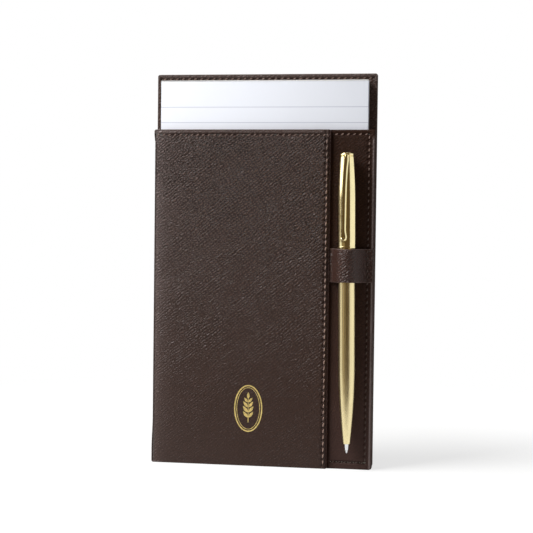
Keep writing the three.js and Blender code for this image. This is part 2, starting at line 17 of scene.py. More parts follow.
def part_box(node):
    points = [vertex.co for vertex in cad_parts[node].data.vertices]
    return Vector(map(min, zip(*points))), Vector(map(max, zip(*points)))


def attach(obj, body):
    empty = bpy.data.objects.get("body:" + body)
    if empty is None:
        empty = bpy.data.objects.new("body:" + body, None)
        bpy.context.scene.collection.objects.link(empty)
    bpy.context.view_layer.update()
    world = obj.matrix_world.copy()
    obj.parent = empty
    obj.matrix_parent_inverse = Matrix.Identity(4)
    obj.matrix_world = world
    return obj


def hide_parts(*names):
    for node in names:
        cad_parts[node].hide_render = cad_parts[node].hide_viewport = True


bl_info = {
    "name": "Leather note holder",
    "version": (1, 0, 0),
    "blender": (4, 5, 0),
    "location": "3D View > Sidebar > Note Holder",
    "description": "Builds a leather note holder with its note pad and twist-action pen",
    "category": "Add Mesh",
}

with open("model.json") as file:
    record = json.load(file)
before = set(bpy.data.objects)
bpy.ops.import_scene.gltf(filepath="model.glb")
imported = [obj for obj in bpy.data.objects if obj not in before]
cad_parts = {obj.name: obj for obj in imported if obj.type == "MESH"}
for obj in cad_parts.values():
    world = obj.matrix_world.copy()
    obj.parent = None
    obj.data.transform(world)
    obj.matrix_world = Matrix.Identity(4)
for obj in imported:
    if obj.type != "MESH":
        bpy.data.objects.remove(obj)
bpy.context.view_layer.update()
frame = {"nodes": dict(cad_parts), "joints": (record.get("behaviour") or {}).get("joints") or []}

MM = 0.001
HOLDER, PAD, PEN_UPPER, PEN_LOWER, REFILL = "holder", "note_pad", "pen_upper", "pen_lower", "refill"


class Box(NamedTuple):
    """A node's place at rest, in millimetres"""

    left: float
    front: float
    bottom: float
    right: float
    rear: float
    top: float


def box_of(node):
    low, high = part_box(node)
    return Box(*(value / MM for value in (*low, *high)))


BOARD = box_of("back_cover_leather")
LINING = box_of("back_lining")
WALL = box_of("pocket_front_leather")
WALL_LINING = box_of("pocket_lining")
MAIN = box_of("main_panel_leather")
LOOP = box_of("pen_loop")
SHEETS = box_of("pad_sheets")

# The pen's line: it leans in its loop, and its sizes are measured along it from the point of the ball.
TWIST = next(joint for joint in frame["joints"] if joint["name"] == "pen_twist")
PEN_TIP = Vector(TWIST["pos_m"]) / MM
PEN_AXIS = Vector(TWIST["axis"])
PEN_LEAN = math.atan2(PEN_AXIS.x, PEN_AXIS.z)
PEN_PLACE = Matrix.Translation(PEN_TIP) @ Matrix.Rotation(PEN_LEAN, 4, "Y")
FULL_TURN = 2 * math.pi


# ---------------------------------------------------------------- settings


def number(name, description, default, **options):
    return bpy.props.FloatProperty(name=name, description=description, default=default, **options)


def length(name, description, millimetres):
    return number(name, description, millimetres * MM, min=0, precision=5, unit="LENGTH")


def colour(name, description, default):
    return bpy.props.FloatVectorProperty(
        name=name, description=description, default=default, size=3, min=0, max=1, subtype="COLOR"
    )


class LeatherSettings(bpy.types.PropertyGroup):
    """Leather, lining and thread"""

    main: colour("Main leather", "Colour of the main panel and the covers", (0.0485, 0.0232, 0.0163))
    # The pen panel's tints are painted shade and painted light: darker higher up where the pen shades it, lighter
    # near the base.
    panel: colour("Pen panel leather", "Colour of the panel behind the pen", (0.0265, 0.0095, 0.0042))
    panel_lit_low: colour("Pen panel, low", "Colour of that panel near the base", (0.058, 0.031, 0.026))
    loop: colour("Loop leather", "Colour of the pen loop", (0.046, 0.0185, 0.0125))
    cut_edge: colour("Cut edge", "Colour of the loop's cut edges", (0.13, 0.085, 0.075))
    lining: colour("Lining", "Colour of the lining", (0.028, 0.02, 0.017))
    # A painted highlight colour: painted sheen and painted highlight lines are mixed towards it.
    painted_highlight: colour("Rubbed leather", "Colour of the leather where it is stretched or rubbed", (0.24, 0.187, 0.178))
    thread: colour("Thread", "Colour of the stitching", (0.42, 0.28, 0.23))
    grain: length("Grain size", "Width of the grain's pebbles", 1.25)
    ridge: length("Ridge width", "From one fine ridge to the next", 1.18)
    grain_depth: length("Grain depth", "Height of the grain's pebbles", 0.85)
    edge: length("Turned edge", "Radius of a turned leather edge", 0.6)
    panel_edge: length("Padded edge", "Radius of the main panel's padded edge", 0.6)
    channel: length("Stitch channel", "Depth that the stitches pull the leather in", 0.55)
    pinch: length("Needle hole", "Depth of the leather at each needle hole", 0.55)
    stitch_width: length("Stitch width", "Width of one stitch", 0.6)


class PadSettings(bpy.types.PropertyGroup):
    """The note pad"""

    paper: colour("Paper", "Colour of the sheets", (0.81, 0.83, 0.89))
    ruling: colour("Ruling", "Colour of the ruled lines", (0.48, 0.49, 0.58))
    first_line: length("Head margin", "From the top of the sheets to the first ruled line", 12.0)
    line_pitch: length("Line pitch", "From one ruled line to the next", 7.25)
    line_width: length("Line width", "Width of a ruled line", 0.3)
    layers: bpy.props.IntProperty(
        name="Layers", description="Bundles of sheets that lie a little unevenly", default=11, min=1
    )


class PenSettings(bpy.types.PropertyGroup):
    """The pen's plating"""

    polished: colour("Polished plating", "Colour of the upper barrel and the clip", (0.95, 0.83, 0.47))
    satin: colour("Satin plating", "Colour of the brushed lower barrel", (0.94, 0.81, 0.46))
    steel: colour("Steel", "Colour of the refill's point", (0.8, 0.81, 0.82))


class OrnamentSettings(bpy.types.PropertyGroup):
    """The foil ornament pressed into the main panel"""

    foil: colour("Foil", "Colour of the gold foil", (0.74, 0.57, 0.2))
    width: length("Width", "Width of the outer oval", 13.4)
    height: length("Height", "Height of the outer oval", 22.0)
    across: length("Place", "From the main panel's left edge to the ornament's middle", 46.4)
    up: length("Height of the middle", "From the base to the ornament's middle", 27.0)


class StageSettings(bpy.types.PropertyGroup):
    """Floor, light and camera"""

    floor: colour("Floor", "Colour of the floor", (0.6, 0.6, 0.595))
    key: number("Key light", "Power of the key light", 27.0, unit="POWER")
    key_size: length("Key size", "Diameter of the key light", 750)
    fill: number("Fill", "Strength of the light from all round", 0.25, min=0, max=1, subtype="FACTOR")
    camera_focal: number("Focal length", "Camera's focal length", 88.03, unit="CAMERA")


class NoteHolderSettings(bpy.types.PropertyGroup):
    """Everything that a user would change"""

    leather: bpy.props.PointerProperty(type=LeatherSettings)
    pad: bpy.props.PointerProperty(type=PadSettings)
    pen: bpy.props.PointerProperty(type=PenSettings)
    ornament: bpy.props.PointerProperty(type=OrnamentSettings)
    stage: bpy.props.PointerProperty(type=StageSettings)


def settings():
    return bpy.context.scene.note_holder


# ---------------------------------------------------------------- materials


class Nodes:
    """A node tree, with short calls that add a node and join it"""

    def __init__(self, tree):
        self.tree = tree

    def join(self, value, socket):
        if isinstance(value, bpy.types.NodeSocket):
            self.tree.links.new(value, socket)
        elif socket.type == "RGBA":
            socket.default_value = (*value[:3], 1)
        else:
            socket.default_value = value

    def node(self, kind, inputs=(), **options):
        node = self.tree.nodes.new("ShaderNode" + kind)
        for option, value in options.items():
            setattr(node, option, value)
        for socket, value in dict(inputs).items():
            self.join(value, node.inputs[socket])
        return node

    def math(self, operation, a, b=0.0):
        return self.node("Math", {0: a, 1: b}, operation=operation).outputs[0]

    def times(self, a, b):
        return self.math("MULTIPLY", a, b)

    def plus(self, a, b):
        return self.math("ADD", a, b)

    def spread(self, value, low, high, to_low=0.0, to_high=1.0, smooth=False):
        inputs = {"Value": value, "From Min": low, "From Max": high, "To Min": to_low, "To Max": to_high}
        kind = "SMOOTHSTEP" if smooth else "LINEAR"
        return self.node("MapRange", inputs, interpolation_type=kind).outputs["Result"]

    def mix(self, factor, a, b):
        node = self.node("Mix", data_type="RGBA")
        for value, socket in ((factor, 0), (a, 6), (b, 7)):
            self.join(value, node.inputs[socket])
        return node.outputs[2]

    def axis(self, vector, name):
        return self.node("SeparateXYZ", {"Vector": vector}).outputs[name]


class Finish(Nodes):
    """One material, whose sockets and patterns are set with short calls"""

    def __init__(self, name, **sockets):
        self.material = bpy.data.materials.new(name)
        self.material.use_nodes = True
        super().__init__(self.material.node_tree)
        self.shader = self.tree.nodes["Principled BSDF"]
        for socket, value in sockets.items():
            self.set(socket.replace("_", " ").title().replace("Ior", "IOR"), value)

    def set(self, socket, value):
        self.join(value, self.shader.inputs[socket])

    def shades(self, value, low, high, tint, first, last):
        """From one shade of a tint to another, as a value goes from low to high."""
        return self.mix(self.spread(value, low, high), shaded(tint, first), shaded(tint, last))

    def done(self, tone, roughness, height, depth, strength):
        """Sets what every material here has: its colour, roughness and fine relief."""
        self.set("Base Color", tone)
        self.set("Roughness", roughness)
        bump = self.node("Bump", {"Height": height, "Distance": depth, "Strength": strength})
        self.set("Normal", bump.outputs["Normal"])
        return self.material

    def place(self, scale=(MM, MM, MM), rotation=(0, 0, 0), location=(0, 0, 0), vector=None):
        """Object coordinates from a place, turned and then divided by a scale, so that one unit is one scale."""
        source = vector or self.node("TexCoord").outputs["Object"]
        inputs = {"Vector": source, "Location": location, "Rotation": rotation, "Scale": scale}
        return self.node("Mapping", inputs, vector_type="TEXTURE").outputs["Vector"]

    def cells(self, millimetres, **options):
        """Object coordinates of which one unit is a size in millimetres."""
        return self.place((millimetres * MM,) * 3, **options)

    def noise(self, vector, detail, scale=1.0, output="Fac"):
        return self.node("TexNoise", {"Vector": vector, "Scale": scale, "Detail": detail}).outputs[output]

    def voronoi(self, vector, feature):
        inputs = {"Vector": vector, "Scale": 1.0, "Randomness": 0.85}
        return self.node("TexVoronoi", inputs, feature=feature, voronoi_dimensions="2D").outputs["Distance"]

    def attribute(self, name):
        return self.node("Attribute", attribute_name=name, attribute_type="GEOMETRY").outputs["Fac"]


def shaded(tint, factor):
    return tuple(channel * factor for channel in tint)


MOST = 0.3, 0.7  # the range that most of a noise lies in
GRAIN_TURN = math.radians(38)  # the grain runs up to the right
GRAIN_LONG_SHARE = 1.5  # a pebble's length over its width
DRIFT_SIZE, DRIFT_REACH = 13, 1.3 * MM
# Ridges are measured in their own width, along the grain and across it.
RIDGE_LENGTH, RIDGE_SWING, LENGTHS_VARY = 1.4, 1.2, 13.0
LENGTH_PATCH, BEND_PATCH, RIDGE_BEND = (1.6, 1.2), (3.0, 2.2), 1.3
DOME_HEIGHT, ROLL_HEIGHT, RIDGE_HEIGHT = 0.25, 0.2, 0.42
PRESSED_FROM, PRESSED_TO, PRESSED_MOST = 30.0, 150.0, 1.25  # heights on the holder, and the share at the upper
SKIVED_FROM, SKIVED_TO = MAIN.top - 2.6, MAIN.top - 2.1  # the thinned leather at the main panel's mouth
# The dark red that painted groove shade turns the leather to.
MAT_RED = (0.045, 0.016, 0.01)
SIDE_FACING = 0.92  # from this share of a normal on, a face looks along that axis


def hide_map(finish, follow):
    """Where a point lies on the hide, in metres: on the piece's own map, or flat on the side that it faces."""
    if follow:
        return finish.node("UVMap", uv_map=follow).outputs["UV"]
    source = finish.node("TexCoord").outputs["Object"]
    normal = finish.node("NewGeometry").outputs["Normal"]
    x, y, z = (finish.axis(source, name) for name in "XYZ")
    sideways = finish.math("GREATER_THAN", finish.math("ABSOLUTE", finish.axis(normal, "X")), SIDE_FACING)
    upwards = finish.math("GREATER_THAN", finish.math("ABSOLUTE", finish.axis(normal, "Z")), SIDE_FACING)
    across = finish.spread(sideways, 0.0, 1.0, x, y)
    along = finish.spread(upwards, 0.0, 1.0, z, y)
    return finish.node("CombineXYZ", {"X": across, "Y": along}).outputs[0]


def wandering_hide(finish, follow):
    """The hide's coordinates, pushed about a little so that the grain doesn't run straight."""
    hide = hide_map(finish, follow)
    drift = finish.noise(finish.cells(DRIFT_SIZE, vector=hide), 1.0, output="Color")
    for operation, by in (("ADD", {1: (-0.5, -0.5, -0.5)}), ("SCALE", {"Scale": DRIFT_REACH})):
        drift = finish.node("VectorMath", {0: drift, **by}, operation=operation).outputs[0]
    return finish.node("VectorMath", {0: hide, 1: drift}, operation="ADD").outputs[0]


def fine_ridges(finish, along_grain):
    """Fine ridges that follow the grain, swing from side to side and break into short lengths."""
    swing = finish.times(finish.axis(along_grain(RIDGE_LENGTH, 1), "X"), FULL_TURN)
    swing = finish.plus(swing, finish.times(finish.noise(along_grain(*LENGTH_PATCH), 1.0), LENGTHS_VARY))
    swing = finish.math("SINE", swing)
    bend = finish.times(finish.noise(along_grain(*BEND_PATCH), 1.0), RIDGE_BEND * FULL_TURN)
    bend = finish.plus(bend, finish.times(swing, RIDGE_SWING))
    phase = finish.plus(finish.times(finish.axis(along_grain(1, 1), "Y"), FULL_TURN), bend)
    wave = finish.spread(finish.math("SINE", phase), -1.0, 1.0)
    return finish.times(wave, finish.spread(swing, -0.9, 0.4, 0.15, 1.0))


def leather(
    name,
    tint,
    low_tint=None,
    left_tint=None,
    worn_to=0.3,
    depth_share=1.0,
    roughness=(0.38, 0.54),
    shine=0.26,
    follow=None,
):
    """Pebble-grained leather whose grain flows up to the right and is pressed flatter lower down."""
    s = settings().leather
    finish = Finish(name, specular_ior_level=shine)
    millimetres = finish.place()
    wandering = wandering_hide(finish, follow)

    def along_grain(long, short, size=s.ridge):
        return finish.place((long * size, short * size, 1), (0, 0, GRAIN_TURN), vector=wandering)

    ridge = fine_ridges(finish, along_grain)
    pebbles = along_grain(GRAIN_LONG_SHARE, 1, s.grain)
    crease = finish.voronoi(pebbles, "DISTANCE_TO_EDGE")
    dome = finish.math("SUBTRACT", 1.0, finish.math("POWER", finish.voronoi(pebbles, "F1"), 2.0))
    edge_roll = finish.spread(crease, 0.0, 0.3, smooth=True)
    height = finish.plus(finish.times(dome, DOME_HEIGHT), finish.times(edge_roll, ROLL_HEIGHT))
    height = finish.plus(height, finish.times(ridge, RIDGE_HEIGHT))
    patches = finish.noise(millimetres, 2.0, scale=0.05)
    up = finish.axis(millimetres, "Z")
    pressed = finish.spread(up, PRESSED_FROM, PRESSED_TO, worn_to, PRESSED_MOST)
    pressed = finish.times(pressed, finish.spread(patches, *MOST, 0.9, 1.08))
    pressed = finish.times(pressed, finish.spread(up, SKIVED_FROM, SKIVED_TO, 1.0, 0.4))

    # Towards the bottom the ground goes to the low tint: painted shade on the main leather, painted light on the
    # pen panel. Left of the main panel's edge the pen panel keeps the main tint, as the unshaded copy.
    ground = finish.mix(finish.spread(up, 10.0, 120.0), low_tint, tint) if low_tint else tint
    if left_tint:
        across = finish.axis(millimetres, "X")
        ground = finish.mix(finish.spread(across, MAIN.right - 3, MAIN.right - 2), left_tint, ground)
    # This attribute is painted sheen and painted highlight lines: the tone goes lighter there and the grain shows
    # less.
    painted_highlight = finish.attribute("painted_highlight")
    ground = finish.mix(painted_highlight, ground, tuple(s.painted_highlight))
    mottled = finish.mix(finish.spread(patches, 0.35, 0.65, 0.0, 0.25), ground, shaded(tint, 0.75))
    shown = finish.times(pressed, min(1.0, depth_share))
    shown = finish.times(shown, finish.spread(painted_highlight, 0.0, 1.0, 1.0, 0.5))
    # Painted shade: the creases between the pebbles and the ridges are painted darker.
    between_pebbles = finish.spread(crease, 0.0, 0.25, 0.5, 0.0)
    between_ridges = finish.spread(ridge, 0.0, 0.45, 0.75, 0.0)
    painted_crease_shade = finish.times(finish.math("MAXIMUM", between_pebbles, between_ridges), shown)
    grained = finish.mix(painted_crease_shade, mottled, shaded(tint, 0.3))
    # The ridge tops are painted lighter: partly a tipped finish, partly a painted highlight standing in for the
    # grain's glints.
    painted_tip_highlight = finish.times(finish.spread(ridge, 0.45, 0.95, 0.0, 0.5), shown)
    grained = finish.mix(painted_tip_highlight, grained, finish.mix(painted_highlight, shaded(tint, 2.3), shaded(s.painted_highlight, 1.25)))
    # Painted shade: stitch channels, needle holes, creases and seams are painted dark red.
    groove = finish.attribute("groove")
    tone = finish.mix(finish.times(groove, 0.9), grained, shaded(MAT_RED, 0.5))
    gloss = finish.spread(finish.noise(pebbles, 2.0, scale=0.7), *MOST, *roughness)
    matt = finish.math("MAXIMUM", gloss, groove)
    return finish.done(tone, matt, finish.times(height, pressed), s.grain_depth, depth_share)


def suede(name, tint):
    finish = Finish(name, specular_ior_level=0.2, sheen_weight=0.25)
    nap = finish.noise(finish.cells(0.25), 4.0)
    cloud = finish.noise(finish.cells(9), 2.0)
    tone = finish.shades(cloud, 0.35, 0.65, tint, 0.8, 1.25)
    tone = finish.mix(finish.spread(nap, *MOST), shaded(tint, 0.7), tone)
    return finish.done(tone, finish.spread(nap, *MOST, 0.85, 0.98), nap, 0.06 * MM, 0.8)


def board_material(name, tint, fleck):
    """Pressed board or felt: matted fibres with flecks."""
    finish = Finish(name, specular_ior_level=0.25)
    fibre = finish.noise(finish.place((0.2 * MM, 0.05 * MM, 0.6 * MM)), 4.0)
    flecks = finish.noise(finish.cells(0.5), 3.0)
    tone = finish.shades(fibre, *MOST, tint, 0.85, 1.1)
    tone = finish.mix(finish.spread(flecks, 0.62, 0.72), tone, fleck)
    return finish.done(tone, finish.spread(flecks, *MOST, 0.85, 0.95), fibre, 0.05 * MM, 0.7)


FACING_FRONT = -0.95, -0.85  # a normal's Y, from square to the front to off it
INK_CORE, INK_REACH = 0.6, 1.4  # where a ruled line's ink begins to fade and where it ends, in half widths


def paper():
    """Smooth writing paper: ruled lines on the leaf that faces the writer, and leaf edges round the block."""
    s = settings().pad
    finish = Finish("writing_paper", specular_ior_level=0.3)
    tooth = finish.noise(finish.cells(0.12), 4.0)
    first = SHEETS.top - s.first_line / MM
    below = finish.math("SUBTRACT", first, finish.axis(finish.place(), "Z"))
    steps = finish.math("DIVIDE", below, s.line_pitch / MM)
    nearest = finish.math("ROUND", steps)
    away = finish.math("ABSOLUTE", finish.math("SUBTRACT", steps, nearest))
    half = 0.5 * s.line_width / s.line_pitch
    line = finish.spread(away, half * INK_CORE, half * INK_REACH, 1.0, 0.0, smooth=True)
    started = finish.math("GREATER_THAN", nearest, -0.5)
    facing = finish.axis(finish.node("NewGeometry").outputs["Normal"], "Y")
    front = finish.spread(facing, *FACING_FRONT, 1.0, 0.0)
    side = finish.spread(facing, *FACING_FRONT)
    ink = finish.times(finish.times(line, started), front)
    leaf = finish.noise(finish.place((9 * MM, 0.055 * MM, 9 * MM)), 2.0)
    edge = finish.times(finish.spread(leaf, 0.35, 0.65, 0.0, 0.35), side)
    sheet = finish.mix(edge, s.paper, shaded(s.paper, 0.72))
    tone = finish.mix(finish.times(ink, 0.9), sheet, s.ruling)
    height = finish.plus(tooth, finish.times(edge, 4.0))
    return finish.done(tone, finish.spread(tooth, *MOST, 0.68, 0.8), height, 0.012 * MM, 0.5)


PLY_TURN, PLY_FINENESS = 0.9, 6
SHADED_BELOW, LIT_ABOVE = 120.0, 150.0  # heights on the holder


def thread(name="waxed_thread", shaded_to=1.0):
    """Waxed two-ply thread, on the stitches' own map, and painted darker lower down: painted shade."""
    s = settings().leather
    finish = Finish(name, specular_ior_level=0.3)
    own = finish.node("UVMap", uv_map="UVMap").outputs["UV"]
    inputs = {"Vector": own, "Rotation": (0, 0, PLY_TURN), "Scale": (PLY_FINENESS, PLY_FINENESS, 1)}
    aslant = finish.node("Mapping", inputs).outputs["Vector"]
    ply = finish.node("TexWave", {"Vector": aslant, "Scale": 0.5, "Distortion": 0.6}).outputs["Fac"]
    wear = finish.noise(finish.cells(1.7), 2.0)
    light = finish.shades(wear, 0.35, 0.7, s.thread, 0.75, 1.35)
    twisted = finish.mix(ply, shaded(s.thread, 0.5), light)
    # Painted shade: below these heights the thread is painted darker.
    if shaded_to < 1:
        up = finish.axis(finish.place(), "Z")
        twisted = finish.mix(finish.spread(up, SHADED_BELOW, LIT_ABOVE), shaded(s.thread, shaded_to), twisted)
    return finish.done(twisted, finish.spread(wear, *MOST, 0.5, 0.65), ply, 0.08 * MM, 0.8)


def foil():
    """Gold foil pressed into the grain, a little worn by rubbing."""
    s = settings().ornament
    finish = Finish("gold_foil", metallic=0.35, specular_ior_level=0.6)
    rub = finish.noise(finish.cells(0.5), 3.0)
    tone = finish.shades(rub, 0.38, 0.62, s.foil, 0.8, 1.25)
    return finish.done(tone, finish.spread(rub, *MOST, 0.34, 0.5), rub, 0.05 * MM, 0.6)


def glue():
    """Dried glue with small lumps."""
    finish = Finish("pad_glue", specular_ior_level=0.5)
    lumps = finish.noise(finish.place((1.4 * MM, 0.4 * MM, 0.4 * MM)), 3.0)
    tone = finish.mix(lumps, (0.8, 0.8, 0.78), (0.88, 0.88, 0.87))
    return finish.done(tone, finish.spread(lumps, *MOST, 0.35, 0.55), lumps, 0.08 * MM, 0.5)


def pen_noise(finish, across, along, detail):
    """A noise on the pen's own line, with a size in millimetres across it and one along it."""
    place = finish.place((across * MM, across * MM, along * MM), (0, PEN_LEAN, 0), tuple(PEN_TIP * MM))
    return finish.noise(place, detail)


def polished_plating():
    s = settings().pen
    finish = Finish("polished_plating", metallic=1.0)
    hairlines, smears = pen_noise(finish, 0.12, 9, 2.0), pen_noise(finish, 2.2, 3.5, 3.0)
    tone = finish.shades(smears, 0.35, 0.7, s.polished, 1.0, 0.93)
    return finish.done(tone, finish.spread(smears, *MOST, 0.1, 0.17), hairlines, 0.004 * MM, 0.6)


def satin_plating():
    """Plating brushed along the barrel."""
    s = settings().pen
    finish = Finish("satin_plating", metallic=1.0)
    brushed, broad = pen_noise(finish, 0.09, 16, 3.0), pen_noise(finish, 0.55, 40, 2.0)
    streaks = finish.plus(finish.times(brushed, 0.5), finish.times(broad, 0.5))
    tone = finish.shades(streaks, 0.38, 0.62, s.satin, 0.82, 1.0)
    return finish.done(tone, finish.spread(streaks, 0.35, 0.65, 0.24, 0.34), brushed, 0.012 * MM, 0.8)


def turned_metal(name, tint, roughness):
    """Metal left from the lathe, with fine turning marks round the pen's line."""
    finish = Finish(name, metallic=1.0)
    marks = pen_noise(finish, 6, 0.06, 2.0)
    tone = finish.shades(marks, *MOST, tint, 0.88, 1.0)
    return finish.done(tone, finish.spread(marks, *MOST, roughness * 0.8, roughness * 1.2), marks, 0.006 * MM, 0.7)


_made = {}


def material(maker, *arguments, **options):
    """A material that several pieces share, made once."""
    key = (maker.__name__, repr(arguments), repr(options))
    if key not in _made:
        _made[key] = maker(*arguments, **options)
    return _made[key]


def main_leather():
    tint = tuple(settings().leather.main)
    # The second tint is painted shade: the main leather is painted darker towards the bottom.
    return material(leather, "main_leather", tint, shaded(tint, 0.8))


def panel_leather():
    s = settings().leather
    # The pen panel's own tint is painted shade from the pen and the main panel, and its low tint is painted light
    # near the base.
    tints = tuple(s.panel), tuple(s.panel_lit_low), tuple(s.main)
    worn = {"worn_to": 0.4, "depth_share": 0.42, "roughness": (0.52, 0.66), "shine": 0.13}
    return material(leather, "panel_leather", *tints, **worn)


def turned_brass():
    return material(turned_metal, "turned_brass", (0.72, 0.5, 0.22), 0.3)


def dress(node, made):
    """Gives a CAD node a better material."""
    thing = frame["nodes"][node]
    if not thing.material_slots:
        thing.data.materials.append(made)
    for place in thing.material_slots:
        place.material = made


# ---------------------------------------------------------------- mesh tools


def linked(name, data):
    thing = bpy.data.objects.new(name, data)
    bpy.context.scene.collection.objects.link(thing)
    return thing


def mesh_of(bm, name):
    """A mesh from a bmesh, which ends there."""
    mesh = bpy.data.meshes.new(name)
    bm.to_mesh(mesh)
    bm.free()
    return mesh


def new_verts(made):
    """The vertices among what an extrusion made."""
    return [part for part in made["geom"] if isinstance(part, bmesh.types.BMVert)]


def peak(away, width):
    """1 on a line and falling off on both sides of it."""
    return math.exp(-((away / width) ** 2))


def within(inside):
    """0 outside an edge and 1 inside it, with a short slope between."""
    return 1 / (1 + math.exp(-min(40.0, max(-40.0, inside / 0.03))))


def finish_piece(bm, name, body, made, replaces=(), sharp=40, closed=True):
    """Turns a bmesh in millimetres into a piece of the scene that rides on a body."""
    if closed:
        bmesh.ops.recalc_face_normals(bm, faces=bm.faces)
    bmesh.ops.scale(bm, vec=(MM, MM, MM), verts=bm.verts)
    mesh = mesh_of(bm, name)
    for one in made if isinstance(made, (list, tuple)) else [made]:
        mesh.materials.append(one)
    mesh.shade_smooth()
    mesh.set_sharp_from_angle(angle=math.radians(sharp))
    thing = linked(name, mesh)
    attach(thing, body)
    if replaces:
        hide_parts(*replaces)
    return thing


LEVEL_SLANT, UPRIGHT_SLANT = math.radians(34), math.radians(22)  # of the stitches in level and upright rows


class Row(NamedTuple):
    """A row of stitches in X and Z, from its first needle hole to its last"""

    start: tuple
    end: tuple
    pitch: float
    slant: float = LEVEL_SLANT
    reach: float = 0.62
    groove_x: float = 0.0
    groove_z: float = 0.0
    channel: float = 1.0

    @property
    def count(self):
        return max(1, round(math.dist(self.start, self.end) / self.pitch))

    def hole(self, index):
        return Vector(self.start).lerp(Vector(self.end), index / self.count)

    def nearest(self, x, z):
        """Distance to the row's groove and to the nearest needle hole in it"""
        start, end = Vector(self.start), Vector(self.end)
        point = Vector((x - self.groove_x, z - self.groove_z))
        along = min(1.0, max(0.0, (point - start).dot(end - start) / (end - start).length_squared))
        on_line = start.lerp(end, along)
        hole = self.hole(round(along * self.count))
        return (point - on_line).length, (point - hole).length


EDGE_STEPS = 6
LEAST_THICKNESS = 0.12
CHANNEL_WIDTH, PIT_WIDTH, STITCH_LIFT = 0.56, 0.42, 0.12
SOFT_SIDE_DEPTH = 1.3  # where a padded side falls off by this much, stitches no longer pull it in


def grid_lines(low, high, edge, coarse, bands=()):
    """Lines of a panel's grid: a few where it lies flat, and many in its rounded edges and in the fine bands."""
    rounded = [edge * (1 - math.cos(k / EDGE_STEPS * math.pi / 2)) for k in range(EDGE_STEPS + 1)]
    lines = [low + r for r in rounded] + [high - r for r in rounded]
    place = low + edge
    while True:
        steps = [step for start, end, step in bands if start <= place < end]
        ahead = [start - place for start, _, _ in bands if start > place + 1e-6]
        place += min([min(steps) if steps else coarse, *ahead])
        if place > high - edge - 0.1:
            break
        lines.append(place)
    return sorted(lines)


def smooth(low, high, value):
    share_of_way = min(1.0, max(0.0, (value - low) / (high - low)))
    return share_of_way * share_of_way * (3 - 2 * share_of_way)


